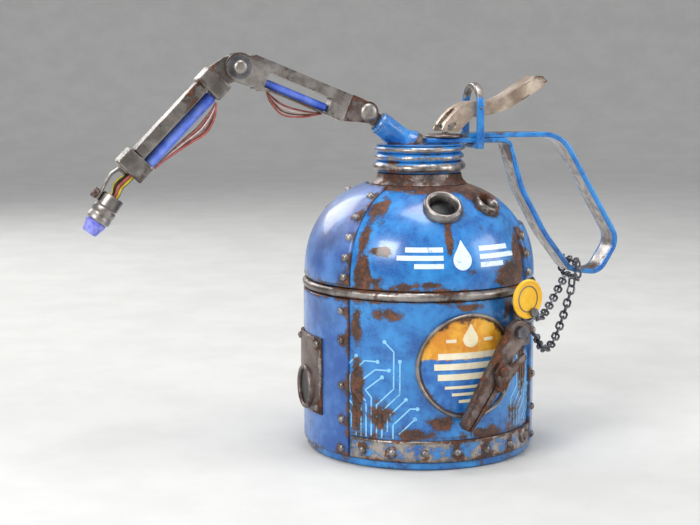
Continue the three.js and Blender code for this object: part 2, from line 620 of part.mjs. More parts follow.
// ---- spout arm ---------------------------------------------------------------------------
// Upper arm, local x from the elbow toward the shoulder, local z across its height.
function buildUpperArm() {
  const arm = new THREE.Group();
  arm.position.set(ELBOW.x, 0, ELBOW.z);
  arm.rotation.y = rad(UPPER_ARM_TILT);
  oiler.add(arm);
  const dx = SHOULDER.x - ELBOW.x;
  const dz = SHOULDER.z - ELBOW.z;
  const tilt = rad(UPPER_ARM_TILT);
  const shoulder = {
    x: dx * Math.cos(tilt) - dz * Math.sin(tilt),
    z: dx * Math.sin(tilt) + dz * Math.cos(tilt),
  };

  const body = slab([[3.4, 6.4], [4.6, 7.5], [50, 7.5], [50, -4.6], [16, -4.6], [10.2, -6.6], [9, -6]], ARM_W);
  const eye = rod([0, 0, 0], [0, 1, 0], 6.2, ARM_W, 24);
  const eyeWeb = slab([[0, 6], [6, 6], [10.5, -5.2], [2, -5.9]], ARM_W);
  const knuckleSlot = slab([[-12, -12], [7.4, -12], [7.4, 12], [-12, 12]], ARM_W - 4);
  const slot = box(12.5, 42, -9, 9, 0.4, 2.8);
  const tubeBay = box(12.5, 42, -9, 9, -3.8, 0.41);
  const boltHole = rod([0, 0, 0], [0, 1, 0], 1.9, 20, 16);
  add('upper_arm_frame', cut(joined(body, eye, eyeWeb), knuckleSlot, slot, tubeBay, boltHole), wornSteel, arm);
  add('upper_arm_tube', rod([27.25, 0, -1.75], [1, 0, 0], 1.8, 29.5 - 2 * GAP, 12), blueTube, arm);

  const jaw = slab([
    [50.3, 7.8], [54, 7.8], [shoulder.x + 2, shoulder.z + 4], [shoulder.x + 4, shoulder.z],
    [shoulder.x + 1, shoulder.z - 4.2], [52.4, -3.6], [50.3, -2.4],
  ], ARM_W);
  const boss = rod([shoulder.x, 0, shoulder.z], [0, 1, 0], 4.7, ARM_W, 24);
  const tongueSlot = slab([[53.4, -20], [75, -20], [75, 20], [53.4, 20]], 4.3);
  const shoulderHole = rod([shoulder.x, 0, shoulder.z], [0, 1, 0], 1.9, 20, 16);
  add('shoulder_clevis', cut(joined(jaw, boss), tongueSlot, shoulderHole), rustySteel, arm);
  add('shoulder_bolt', bolt(shoulder.x, shoulder.z, ARM_W, 3.9, 1.9), wornSteel, arm);
  add('elbow_bolt', bolt(0, 0, ARM_W, 3, 1.4), wornSteel, arm);

  const wires = [[15, 0, -7.2], [18.6, 0.4, -9.6], [25, 0.8, -11.6], [33, 0.6, -9.8], [41, 0, -6.2]];
  add('upper_arm_wires', cord(wires, 1.1, 10, 6), wireRed, arm);
}

// Through bolt with a head on each side, along Y.
function bolt(x, z, width, headR, headH) {
  const face = width / 2 + GAP;
  return joined(
    rod([x, 0, z], [0, 1, 0], 1.6, width + 1, 16),
    rod([x, -face - headH / 2, z], [0, -1, 0], headR, headH, 20, headR * 0.8),
    rod([x, face + headH / 2, z], [0, 1, 0], headR, headH, 20, headR * 0.8),
  );
}

// Forearm, local x from the elbow toward the nozzle, local z to its upper side.
function buildForearm() {
  const arm = new THREE.Group();
  arm.position.set(ELBOW.x, 0, ELBOW.z);
  arm.rotation.y = rad(180 - FOREARM_TILT);
  oiler.add(arm);
  // In this turned group the upper side of the arm is at -z, so heights are negated here.
  const up = (outline) => outline.map(([x, z]) => [x, -z]);
  const block = (x0, x1, z0, z1, width) => box(x0, x1, -width / 2, width / 2, -z1, -z0);

  const knuckle = joined(
    rod([0, 0, 0], [0, 1, 0], 5.6, ARM_W - 4 - 2 * GAP, 24),
    slab(up([[-2.6, 5.2], [2, 7.6], [8.4, 9], [8.4, -1.4], [4.4, -3.6], [0, -5]]), ARM_W - 4 - 2 * GAP),
  );
  add('elbow_knuckle', cut(knuckle, rod([0, 0, 0], [0, 1, 0], 1.9, 20, 16)), wornSteel, arm);
  add('forearm_collar_upper', block(8.7, 16.5, -3, 9.6, FOREARM_W + 2), wornSteel, arm);
  const channel = joined(
    block(16.8, 55.4, 6.8, 8.7, FOREARM_W - 1),
    block(16.8, 55.4, 3.4, 8.7, 1.6).translate(0, -(FOREARM_W - 2.6) / 2, 0),
    block(16.8, 55.4, 3.4, 8.7, 1.6).translate(0, (FOREARM_W - 2.6) / 2, 0),
  );
  add('forearm_channel', channel, wornSteel, arm);
  add('forearm_tube', rod([36.1, 0, 0], [1, 0, 0], 2.6, 38.6, 14), blueTube, arm);
  add('forearm_collar_lower', block(55.7, 64.2, -2.4, 10.7, FOREARM_W + 2), wornSteel, arm);
  const wires = [[16.9, 0, 4.6], [22, 0.6, 7.4], [30, 0.9, 8.9], [38, 0.6, 7], [48, 0.2, 4.7], [55.3, 0, 4]];
  add('forearm_wires', cord(wires, 1.3, 10, 6), wireRed, arm);
}

// Nozzle head, local x along the nozzle toward its tip, local z toward the knob.
function buildNozzle() {
  const head = new THREE.Group();
  head.position.set(WRIST.x, 0, WRIST.z);
  head.rotation.y = rad(180 - NOZZLE_TILT);
  oiler.add(head);
  const across = (x, z) => [x, 0, -z];

  const legOutline = [[-13.8, 1.6], [-14.4, 5.3], [-10, 6.9], [-5, 6.6], [-2.4, 6], [1.9, 6], [1.9, 5.1]];
  const legInner = [[-3, 5.1], [-5.2, 5.5], [-9.8, 5.7], [-12.7, 4.6], [-12.4, 1.6]];
  const leg = slab([...legOutline, ...legInner].map(([x, z]) => [x, -z]), 4.6);
  const pinHole = rod(across(0, 5.5), [0, 0, 1], 1.3, 6, 12);
  add('wrist_bracket', cut(leg, pinHole), wornSteel, head);

  const collar = cut(rod([0, 0, 0], [1, 0, 0], 4.8, 5.6, 24), rod([-2.4, 0, 0], [1, 0, 0], 3.4, 2.4, 16));
  add('nozzle_collar', collar, wornSteel, head);
  const knob = joined(
    rod(across(0, 7.4), [0, 0, 1], 2.2, 2.4, 12),
    rod(across(0, 6), [0, 0, 1], 0.95, 2, 12),
  );
  add('wrist_knob', knob, rustySteel, head);
  const wires = [[-10.6, 0, -0.9], [-7, 0.5, -0.4], [-4, 0.2, 0], [-1.5, 0, 0]];
  add('wrist_wires', cord(wires, 1.9, 8), wireYellow, head);
  add('nozzle_ring', ring(2.6, 5.2, 3.1, 9.3, 24).rotateY(Math.PI / 2), wornSteel, head);
  const tip = revolved([[1, 3.6], [2.3, 3.6], [2.3, 9.6], [4.6, 9.6], [3.2, 15.4], [1, 15.4], [1, 3.6]], 20);
  add('nozzle_tip', tip.rotateY(Math.PI / 2), violetNozzle, head);
}

// ---- keeper chain, tag and clip ----------------------------------------------------------
// Local frame of a plane facing an azimuth: x to the viewer's right, -y outward, z up.
function facingFrame({ azimuth, distance }) {
  const frame = new THREE.Group();
  const flat = outward(azimuth);
  frame.position.set(flat[0] * distance, flat[1] * distance, 0);
  frame.rotation.z = rad(azimuth);
  oiler.add(frame);
  frame.updateMatrixWorld();
  return frame;
}

function buildChain() {
  add('chain_short_strand', cord(CHAIN_SHORT, CHAIN_D / 2, 12), darkSteel);
  add('chain_slack_strand', cord(CHAIN_SLACK, CHAIN_D / 2, 18), darkSteel);
  const [halfWidth, bottom, top] = [STRAP_W / 2 + 0.5, 73.5, 77.9];
  const wall = 2.6;
  const wrap = box(72, 75.2, -halfWidth - wall, halfWidth + wall, bottom - wall, top + wall);
  add('chain_wrap', cut(wrap, box(60, 90, -halfWidth, halfWidth, bottom, top)), darkSteel);
  const frame = facingFrame(TAG);
  const loop = new THREE.TorusGeometry(RING.radius, RING.wire, 8, 16).rotateX(Math.PI / 2);
  add('chain_ring', loop.translate(RING.u, RING.setBack, RING.z), darkSteel, frame);
  const { u, z, radius, offsetU, offsetZ, hole } = TAG;
  const disc = rod([u + offsetU, 0, z + offsetZ], [0, 1, 0], radius, 1, 28);
  add('round_tag', cut(disc, rod([u, 0, z], [0, 1, 0], hole, 4, 12)), tagYellow, frame);
}

function buildAnchor() {
  const base = sector(TANK_R + GAP, TANK_R + 1.8, ANCHOR.from, ANCHOR.to, ANCHOR.bottom, ANCHOR.top, 6);
  const clipFrame = facingFrame(CLIP);
  const tagFrame = facingFrame(TAG);
  const arm = box(9, 21.2, 2.3, 4.1, ANCHOR.bottom, CLIP.z + 1.9);
  const block = box(18.5, 21.2, 2.4, 8.7, ANCHOR.bottom, CLIP.z + 1.9);
  const stud = rod([CLIP.u, 0, CLIP.z], [0, -1, 0], 1.5, 6, 12);
  const nut = rod([CLIP.u, -3.2, CLIP.z], [0, -1, 0], 2.8, 1.8, 6);
  const post = rod([TAG.u, 3.5, TAG.z], [0, -1, 0], TAG.hole - GAP, 10.4, 12);
  const postHead = rod([TAG.u, -1.4, TAG.z], [0, -1, 0], 2, 1.2, 12);
  const onClip = [arm, block, stud, nut].map((piece) => piece.applyMatrix4(clipFrame.matrixWorld));
  const onTag = [post, postHead].map((piece) => piece.applyMatrix4(tagFrame.matrixWorld));
  add('anchor_bracket', joined(base, ...onClip, ...onTag), darkSteel);
}

// Clip hung on the anchor's stud; local x runs toward the tip of its jaws, local z to the right.
function buildClip() {
  const clip = new THREE.Group();
  clip.position.set(CLIP.u, 0, CLIP.z);
  clip.rotation.y = rad(CLIP.lean);
  facingFrame(CLIP).add(clip);
  const { pivot, length } = CLIP;
  const bar = [
    [0, -4], [8, -4.4], [30, -3.9], [length - 1, -2.8], [length, -0.6], [length - 1, 0.5], [20, 1.6],
    [6, 3.8], [0, 4],
  ];
  const fixedJaw = joined(slab(bar, 4), rod([0, 0, 0], [0, 1, 0], 5, 4, 16));
  const pin = joined(
    rod([pivot, -1.9, 0], [0, 1, 0], 1.1, 5.6, 10),
    rod([pivot, -5.2, 0], [0, 1, 0], 2.1, 1.2, 12),
  );
  const studHole = rod([0, 0, 0], [0, 1, 0], 1.8, 10, 12);
  add('clip_body', joined(cut(fixedJaw, studHole), pin), rustySteel, clip);
  const lug = [[15.4, -2.6], [20.5, -2.6], [24, 1], [26, 4.6], [20, 5.2], [8, 7.6], [6.6, 5.6], [14, 3]];
  const moving = joined(
    slab(lug, 1.8, -3.4),
    slab([[20, 2.2], [26, 2], [26, 4.6], [20, 5.2]], 6.3, -1.15),
    slab([[20, 2.2], [length - 1, 1], [length - 0.4, 2], [30, 4.2], [20, 5.2]], 4),
  );
  add('clip_jaw', cut(moving, rod([pivot, -3.4, 0], [0, 1, 0], 1.1 + GAP, 6, 12)), rustySteel, clip);
  const wire = [[22, 0, 5.8], [24.5, 0, 8.2], [29, 0, 8.6], [34, 0, 6.2], [36.5, 0, 4.4]];
  add('clip_spring', cord(wire, 0.6, 12, 6), wornSteel, clip);
}

buildTank();
buildPlates();
buildPort();
buildPortholes();
buildBadge();
buildCap();
buildStub();
buildHandle();
buildArch();
buildLever();
buildPump();
buildUpperArm();
buildForearm();
buildNozzle();
buildChain();
buildAnchor();
buildClip();

export default oiler;
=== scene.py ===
"""Hand-pump oil can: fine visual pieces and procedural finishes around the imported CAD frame."""

import random
from math import acos, asin, atan2, ceil, copysign, cos, degrees, exp, hypot, pi, radians, sin, sqrt, tan

import bmesh
import bpy
import numpy as np
from mathutils import Matrix, Vector, kdtree


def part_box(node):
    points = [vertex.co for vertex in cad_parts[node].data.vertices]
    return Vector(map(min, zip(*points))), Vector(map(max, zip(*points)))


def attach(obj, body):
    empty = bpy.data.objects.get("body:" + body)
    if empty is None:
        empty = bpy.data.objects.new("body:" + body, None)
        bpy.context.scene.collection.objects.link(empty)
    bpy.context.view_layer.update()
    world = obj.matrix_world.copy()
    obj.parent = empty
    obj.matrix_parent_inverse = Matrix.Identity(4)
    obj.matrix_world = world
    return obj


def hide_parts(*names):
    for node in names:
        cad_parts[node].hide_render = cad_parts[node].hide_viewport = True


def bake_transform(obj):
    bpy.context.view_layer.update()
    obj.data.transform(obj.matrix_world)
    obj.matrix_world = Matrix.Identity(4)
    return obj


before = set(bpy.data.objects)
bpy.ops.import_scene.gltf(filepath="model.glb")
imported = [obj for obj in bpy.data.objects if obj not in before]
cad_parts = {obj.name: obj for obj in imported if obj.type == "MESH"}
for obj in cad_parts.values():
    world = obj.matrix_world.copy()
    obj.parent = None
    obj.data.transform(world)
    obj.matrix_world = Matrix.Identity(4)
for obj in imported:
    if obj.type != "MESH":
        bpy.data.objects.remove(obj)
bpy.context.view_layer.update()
MM = 0.001
RNG = random.Random(7)



def placed(name, data):
    """A new object in the scene."""
    obj = bpy.data.objects.new(name, data)
    bpy.context.scene.collection.objects.link(obj)
    return obj


# ---- camera --------------------------------------------------------------------------------
CAMERA_AZIMUTH = 19
CAMERA_DISTANCE = 0.605
CAMERA_HEIGHT = 0.163
camera_data = bpy.data.cameras.new("camera")
camera_data.lens = 70.4
camera_data.sensor_width = 36
camera = placed("camera", camera_data)
swing = radians(CAMERA_AZIMUTH)
camera.location = (-CAMERA_DISTANCE * sin(swing), -CAMERA_DISTANCE * cos(swing), CAMERA_HEIGHT)
camera.rotation_euler = (radians(82.25), 0, radians(-16.1))
bpy.context.scene.camera = camera

# ---- dimensions in millimetres, from the frame where a node gives them ------------------------


def node_box(node):
    low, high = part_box(node)
    return low / MM, high / MM


wall_low, wall_high = node_box("tank_wall")
TANK_R, WALL_BOTTOM, WALL_TOP = wall_high.x, wall_low.z, wall_high.z
bead_low, bead_high = node_box("seam_bead")
BEAD_Z = (bead_low.z + bead_high.z) / 2
BEAD_R = (bead_high.z - bead_low.z) / 2
dome_low, dome_high = node_box("dome")
DOME_BASE, DOME_TOP, DOME_R = dome_low.z, dome_high.z, dome_high.x
DOME_H = 43.4
DOME_POWER = 2.35
SHEET = 1.0
PLATE_T = 1.0
GAP = 0.3
PLATE_TOP_R = TANK_R + GAP + PLATE_T
SIDE_PLATE = (54, 126)
LEFT_DOME_PLATE = (-126, -54, node_box("dome_plate_left")[0].z, 115.5)
RIGHT_DOME_PLATE = (46, 126, node_box("dome_plate_right")[0].z, 99)
BAND = (-53, 53)
BAND_TOP = 13.4
RIVET_R = 1.65
NECK_R = 17.1
NECK_BORE = 16.6
CAP_TOP = 133.5
STRAP_T = 2.2
STRAP_LOWER_Z = 134.95
STRAP_UPPER_Z = 137.2
STUB_BASE = Vector((-5.4, 0, 133.2))
BADGE_FACE = 0.85
KEEPER_AZIMUTH = 22
PORT = {"azimuth": -88, "bottom": 18.4, "top": 52, "half": 16.5, "ring_z": 28.3, "ring_r": 9.6}
PORTHOLES = {
    "front": {"azimuth": -3.3, "z": 108.4, "outer": 8.3, "inner": 5.6},
    "side": {"azimuth": 32.5, "z": 108.6, "outer": 6.0, "inner": 3.8},
}
BADGE = {"azimuth": 6.3, "z": 43.7, "radius": 22.4, "rim": 1.6}
ELBOW = Vector((-80.9, 0, 166.7))
WRIST = Vector((-135.6, 0, 111.1))
SHOULDER = Vector((-25, 0, 147.6))
UPPER_ARM = Matrix.Translation(ELBOW) @ Matrix.Rotation(radians(22), 4, "Y")
FOREARM = Matrix.Translation(ELBOW) @ Matrix.Rotation(radians(134), 4, "Y")
NOZZLE = Matrix.Translation(WRIST) @ Matrix.Rotation(radians(125.6), 4, "Y")

# ---- finishes ------------------------------------------------------------------------------


def rgb(text):
    parts = [int(text[i : i + 2], 16) / 255 for i in (1, 3, 5)]
    return [c / 12.92 if c <= 0.04045 else ((c + 0.055) / 1.055) ** 2.4 for c in parts] + [1]


class Finish:
    """A node tree in the making: each call adds one node and returns its first output."""

    def __init__(self, name):
        self.material = bpy.data.materials.new(name)
        self.material.use_nodes = True
        self.tree = self.material.node_tree
        self.shader = self.tree.nodes["Principled BSDF"]
        self.place = self.node("ShaderNodeTexCoord").outputs["Object"]

    def node(self, kind, inputs=None, **settings):
        made = self.tree.nodes.new(kind)
        for key, value in settings.items():
            setattr(made, key, value)
        for key, value in (inputs or {}).items():
            if isinstance(value, bpy.types.NodeSocket):
                self.tree.links.new(value, made.inputs[key])
            else:
                made.inputs[key].default_value = value
        return made

    def noise(self, scale, detail=5, roughness=0.6, stretch=None):
        place = self.place
        if stretch:
            place = self.node("ShaderNodeMapping", {"Vector": place, "Scale": stretch}).outputs[0]
        settings = {"Vector": place, "Scale": scale, "Detail": detail, "Roughness": roughness}
        return self.node("ShaderNodeTexNoise", settings).outputs["Fac"]

    def attribute(self, name):
        return self.node("ShaderNodeAttribute", attribute_name=name).outputs["Fac"]

    def math(self, operation, first, second):
        return self.node("ShaderNodeMath", {0: first, 1: second}, operation=operation).outputs[0]

    def total(self, *terms):
        """Sum of (socket, weight) pairs and plain numbers."""
        result = None
        for term in terms:
            value = self.math("MULTIPLY", *term) if isinstance(term, tuple) else term
            result = value if result is None else self.math("ADD", result, value)
        return result

    def step(self, value, low, high, to_low=0.0, to_high=1.0):
        inputs = {"Value": value, "From Min": low, "From Max": high, "To Min": to_low, "To Max": to_high}
        return self.node("ShaderNodeMapRange", inputs, interpolation_type="SMOOTHSTEP").outputs[0]

    def mix(self, factor, first, second):
        inputs = {"Factor": factor, 6: first, 7: second}
        return self.node("ShaderNodeMix", inputs, data_type="RGBA").outputs[2]

    def blend(self, factor, first, second):
        return self.node("ShaderNodeMix", {"Factor": factor, 2: first, 3: second}).outputs[0]

    def ramp(self, value, *stops):
        made = self.node("ShaderNodeValToRGB", {"Fac": value})
        elements = made.color_ramp.elements
        while len(elements) < len(stops):
            elements.new(0.5)
        for element, (place, colour) in zip(elements, stops):
            element.position = place
            element.color = rgb(colour)
        return made.outputs["Color"]

    def connect(self, socket, name):
        self.tree.links.new(socket, self.shader.inputs[name])

    def bump(self, height, strength, distance):
        inputs = {"Height": height, "Strength": strength, "Distance": distance}
        self.connect(self.node("ShaderNodeBump", inputs).outputs[0], "Normal")


def worn(name, coat, shade, rust_level=0.0, bare_level=0.0, metallic=0.0, roughness=0.32, clear=0.0,
         colours=None, stain=0.3):
    """Painted or bare metal that wears: mesh attributes rust and bare say where it starts."""
    f = Finish(name)
    large = f.noise(48, 6, 0.62)
    middle = f.noise(210, 6, 0.65)
    fine = f.noise(1500, 4, 0.6)
    flecks = f.noise(620, 5, 0.7)
    rust_value = f.total(f.attribute("rust"), (large, 1.5), (middle, 1.0), (flecks, 0.5), rust_level - 1.5)
    rust_mask = f.step(rust_value, 0.47, 0.54)
    rust_stain_and_crevice_shade = f.step(rust_value, 0.3, 0.5)
    bare_value = f.total(f.attribute("bare"), (middle, 1.3), (fine, 0.35), bare_level - 0.82)
    bare_mask = f.step(bare_value, 0.44, 0.6)
    tone = f.step(f.noise(75, 5, 0.7), 0.32, 0.7)
    paint = colours(f) if colours else f.mix(tone, rgb(coat), rgb(shade))
    scratch = f.step(f.noise(160, 3, 0.5, (1, 1, 9)), 0.66, 0.74, 0, 0.35)
    paint = f.mix(scratch, paint, rgb("#7d8794"))
    grime = f.step(f.noise(34, 7, 0.68), 0.5, 0.72, 0, stain)
    paint = f.mix(grime, paint, rgb("#2a2626"))
    # Dark brown round the rust: partly rust stain, partly painted shade in the crevices along seams, plate
    # edges and round rivets.
    paint = f.mix(f.math("MULTIPLY", rust_stain_and_crevice_shade, 0.6), paint, rgb("#2b211f"))
    metal = f.mix(f.step(middle, 0.35, 0.65), rgb("#5d5754"), rgb("#aea59e"))
    grain = f.total((middle, 0.6), (flecks, 0.4))
    oxide = f.ramp(grain, (0.38, "#1d1310"), (0.5, "#47291b"), (0.62, "#764428"))
    f.connect(f.mix(rust_mask, f.mix(bare_mask, paint, metal), oxide), "Base Color")
    shine = f.blend(bare_mask, metallic, 0.9)
    f.connect(f.math("MULTIPLY", shine, f.step(rust_mask, 0, 1, 1, 0.25)), "Metallic")
    paint_rough = f.total((fine, 0.2), (tone, 0.1), roughness - 0.1)
    rough = f.blend(rust_mask, f.blend(bare_mask, paint_rough, 0.36), 0.72)
    f.connect(rough, "Roughness")
    crust = f.math("MULTIPLY", flecks, rust_mask)
    height = f.total((rust_mask, -0.9), (bare_mask, -0.35), (crust, 1.6), (fine, 0.12))
    f.bump(height, 0.8, 0.00025)
    if clear:
        f.shader.inputs["Coat Weight"].default_value = clear
        f.shader.inputs["Coat Roughness"].default_value = 0.12
    return f.material


def plain(name, first, second, roughness, metallic=0.0, scale=300, coat=0.0, specular=0.5):
    """Finish of a small part: two tones of one colour with fine grain."""
    f = Finish(name)
    grain = f.noise(scale, 5, 0.65)
    f.connect(f.mix(f.step(grain, 0.35, 0.65), rgb(first), rgb(second)), "Base Color")
    f.connect(f.total((grain, 0.3), roughness - 0.15), "Roughness")
    f.shader.inputs["Metallic"].default_value = metallic
    f.shader.inputs["Coat Weight"].default_value = coat
    f.shader.inputs["Specular IOR Level"].default_value = specular
    f.bump(grain, 0.3, 0.0001)
    return f.material


def blue_with_painted_highlight(f):
    """Blue enamel with a painted greyish lilac highlight toward its top."""
    height = f.node("ShaderNodeSeparateXYZ", {0: f.place})
    # Painted highlight: lilac mixed in from about 85 to 125 mm up, the top of the left dome plate.
    lilac_highlight_mask = f.step(f.total((height.outputs[2], 1), (f.noise(26, 3, 0.5), 0.03)), 0.085, 0.125)
    low = f.mix(f.step(f.noise(60, 4, 0.6), 0.35, 0.65), rgb("#1a539f"), rgb("#4a82c8"))
    return f.mix(f.math("MULTIPLY", lilac_highlight_mask, 0.32), low, rgb("#9a93a6"))


def badge_colours(f):
    """Orange-yellow enamel over blue, parted by a ragged line across the middle."""
    height = f.node("ShaderNodeSeparateXYZ", {0: f.place}).outputs[2]
    line = f.total((height, 1), (f.noise(120, 5, 0.6), 0.008), -0.004)
    split = f.step(line, (BADGE["z"] + 2.5) * MM, (BADGE["z"] + 3.4) * MM)
    tone = f.step(f.noise(150, 5, 0.65), 0.35, 0.65)
    blue = f.mix(tone, rgb("#1d5fae"), rgb("#3f8ad0"))
    return f.mix(split, blue, f.mix(tone, rgb("#d98a1c"), rgb("#f0b63a")))


def chipped(scale, chips, first, second):
    """Paint of one colour with small chips of another."""
    return lambda f: f.mix(f.step(f.noise(scale, 6, 0.7), *chips), rgb(first), rgb(second))


FINISHES = {
    "blue_paint": worn("blue_enamel", "#145aa6", "#3390d8", 0, -0.2, roughness=0.26, clear=0.5, stain=0.4),
    # Left plates: blue enamel, with a painted lilac highlight toward the top of the dome plate.
    "violet_paint": worn("blue_enamel_painted_highlight", "#2c62b4", "#6f86c4", 0, -0.1, clear=0.5, stain=0.45,
                         colours=blue_with_painted_highlight),
    "worn_steel": worn("worn_steel", "#77706c", "#b3aca6", 0.04, metallic=0.9, roughness=0.34, stain=0.6),
    "dark_steel": worn("dark_steel", "#4b4a4d", "#85848a", -0.08, -0.3, metallic=0.85, roughness=0.38),
    "rusty_steel": worn("rusty_steel", "#6b5a54", "#948884", 0.16, metallic=0.8, roughness=0.4, stain=0.5),
    "beige_steel": worn("beige_steel", "#a48f7e", "#ddccba", 0.03, -0.1, metallic=0.6, roughness=0.34,
                        stain=0.45),
    "blue_tube": worn("blue_tube", "#3f62d8", "#7f9cf4", -0.05, -0.1, roughness=0.28, clear=0.5, stain=0.5),
    "violet_tip": plain("violet_tip", "#5a5fd0", "#9aa0ee", 0.34, 0.2, 260, 0.4),
    "dark_glass": plain("dark_glass", "#050608", "#0f1216", 0.3, 0.0, 90, specular=0.15),
    "brass": plain("brass", "#a07c3a", "#c9a55c", 0.35, 0.95),
    "leather": plain("leather", "#4a2f1b", "#6b4529", 0.75),
    "rubber": plain("rubber", "#161616", "#242424", 0.75),
    "wire_red": plain("wire_red", "#8e3a34", "#b8605a", 0.5),
    "wire_yellow": plain("wire_yellow", "#c9b41f", "#eadb3c", 0.45),
    "tag_yellow": worn("tag_yellow", "#eeb215", "#f9c93a", -0.2, -0.3, metallic=0.15, roughness=0.34),
    "badge_face": worn("badge_face", "#1d5fae", "#3f8ad0", 0.03, -0.1, clear=0.3, colours=badge_colours),
}
WIRE_BROWN = plain("wire_brown", "#4d2a1f", "#7a4a38", 0.5)
WIRE_PALE = plain("wire_pale", "#b9a6a0", "#ddd0c8", 0.45)
WIRE_DARK = plain("wire_dark", "#17140f", "#2c2620", 0.5)
FADED_WHITE = worn("faded_white", "#c4ddf2", "#eef6fb", -0.3, -0.4, roughness=0.4, stain=0.15,
                   colours=chipped(420, (0.56, 0.66), "#dcebf6", "#3c8bd4"))
TRACE_BLUE = worn("trace_blue", "#7cc0ee", "#a9dcf8", -0.06, -0.4, roughness=0.35,
                  colours=chipped(300, (0.55, 0.63), "#8fd0f6", "#2a7bcb"))
CREAM = worn("cream_enamel", "#e9dcb6", "#f6eed6", rust_level=-0.08, bare_level=-0.3, roughness=0.4)

# ---- mesh helpers ----------------------------------------------------------------------------


def turns(count):
    """Angles of equal steps round a circle."""
    return [2 * pi * k / count for k in range(count)]


def arc(start, end, steps):
    """Angles spread evenly between two given in degrees."""
    return [radians(start + (end - start) * i / steps) for i in range(steps + 1)]


def dense(points, step, closed=False):
    """The same line with its points no further apart than step."""
    points = [Vector(p) for p in points]
    line = []
    for a, b in zip(points, points[1:] + (points[:1] if closed else [])):
        count = max(1, ceil((b - a).length / step))
        line += [a.lerp(b, k / count) for k in range(count)]
    return line if closed else line + [points[-1]]


def loft(rings, sides, closed=True):
    """Faces between rings of points, joined into a loop or with a cap at both ends."""
    faces = []
    for i in range(rings if closed else rings - 1):
        here, ahead = i * sides, (i + 1) % rings * sides
        for k in range(sides):
            n = (k + 1) % sides
            faces.append((here + k, here + n, ahead + n, ahead + k))
    if not closed:
        faces += [tuple(range(sides)), tuple(reversed(range((rings - 1) * sides, rings * sides)))]
    return faces


def stacked(rings, count):
    """Faces of two layers of rings round a centre, joined along the outermost ring."""
    layer = rings * count
    rim = layer - count
    faces = []
    for r in range(rings - 1):
        for k in range(count):
            n = (k + 1) % count
            a, b, c, d = r * count + k, r * count + n, (r + 1) * count + n, (r + 1) * count + k
            faces += [(a, d, c, b), (layer + b, layer + c, layer + d, layer + a)]
    for k in range(count):
        n = (k + 1) % count
        faces.append((rim + k, layer + rim + k, layer + rim + n, rim + n))
    return faces


def nearby(points):
    """Search tree of points."""
    tree = kdtree.KDTree(len(points))
    for i, point in enumerate(points):
        tree.insert(point, i)
    tree.balance()
    return tree


def closed_mesh(name, verts, faces):
    """Mesh from points in millimetres, welded where they meet, its faces turned outward."""
    mesh = bpy.data.meshes.new(name)
    mesh.from_pydata([Vector(v) * MM for v in verts], [], faces)
    bm = bmesh.new()
    bm.from_mesh(mesh)
    bmesh.ops.remove_doubles(bm, verts=bm.verts, dist=1e-6)
    bmesh.ops.recalc_face_normals(bm, faces=bm.faces)
    bm.to_mesh(mesh)
    bm.free()
    return mesh


def piece(name, verts, faces, body, slot, replaces=(), material=None, wear=None):
    """Makes a mesh object from points in millimetres and puts it on its CAD body."""
    return settle(name, closed_mesh(name, verts, faces), body, slot, replaces, material, wear)


def settle(name, mesh, body, slot, replaces=(), material=None, wear=None, angle=38):
    """Puts a mesh in the scene as a visible piece, its edges sharp past the angle."""
    for polygon in mesh.polygons:
        polygon.use_smooth = True
    mesh.set_sharp_from_angle(angle=radians(angle))
    mesh.materials.clear()
    mesh.materials.append(material or FINISHES[slot])
    obj = placed(name, mesh)
    if wear:
        paint_wear(obj, wear)
    if body:
        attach(obj, body)
    if replaces:
        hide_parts(*replaces)
    return obj


def paint_wear(obj, wear):
    """wear is one (rust, bare) pair, or gives a pair for each vertex at x, y, z in millimetres."""
    values = [wear(*(v.co / MM)) if callable(wear) else wear for v in obj.data.vertices]
    for index, name in enumerate(("rust", "bare")):
        layer = obj.data.attributes.get(name) or obj.data.attributes.new(name, "FLOAT", "POINT")
        layer.data.foreach_set("value", [v[index] for v in values])


def add_up(*parts):
    """Joins several (verts, faces) meshes into one."""
    verts, faces = [], []
    for part_verts, part_faces in parts:
        offset = len(verts)
        verts += part_verts
        faces += [tuple(i + offset for i in face) for face in part_faces]
    return verts, faces


def lathe(profile, segments=144):
    """Closed [r, z] loop turned about +Z."""
    verts = [(r * cos(a), r * sin(a), z) for a in turns(segments) for r, z in profile]
    axis = {i for i, (r, _) in enumerate(profile) if r < 1e-6}
    count = len(profile)
    return verts, [f for f in loft(segments, count) if not {f[0] % count, f[1] % count} <= axis]


def moved(part, matrix):
    verts, faces = part
    return [tuple(matrix @ Vector(v)) for v in verts], faces


def facing(centre, direction):
    """Matrix that stands +Z along a direction at a point."""
    return Matrix.Translation(Vector(centre)) @ Vector(direction).to_track_quat("Z", "Y").to_matrix().to_4x4()


def grid_solid(nu, nv, top, bottom):
    """Closed solid between two grids of nu by nv points."""
    verts = list(top) + list(bottom)
    faces = []
    base = nu * nv
    for i in range(nu - 1):
        for j in range(nv - 1):
            a, b, c, d = i * nv + j, (i + 1) * nv + j, (i + 1) * nv + j + 1, i * nv + j + 1
            faces += [(a, b, c, d), (base + d, base + c, base + b, base + a)]
    edge = [(i, 0) for i in range(nu)] + [(nu - 1, j) for j in range(1, nv)]
    edge += [(i, nv - 1) for i in range(nu - 2, -1, -1)] + [(0, j) for j in range(nv - 2, 0, -1)]
    for k, (i, j) in enumerate(edge):
        i2, j2 = edge[(k + 1) % len(edge)]
        a, b = i * nv + j, i2 * nv + j2
        faces.append((a, b, base + b, base + a))
    return verts, faces


def spaced(length, step, edge):
    """Distances from 0 to length: close together at both ends, about step apart between."""
    rim = [0, edge * 0.12, edge * 0.4, edge]
    inner = max(2, round((length - 2 * edge) / step))
    middle = [edge + (length - 2 * edge) * i / inner for i in range(1, inner)]
    return rim + middle + [length - d for d in reversed(rim)]


def crown(distance, edge, thickness):
    """Height of a sheet's surface near its rounded edge."""
    t = min(distance / edge, 1)
    return thickness * sqrt(max(1 - (1 - t) ** 2, 0))


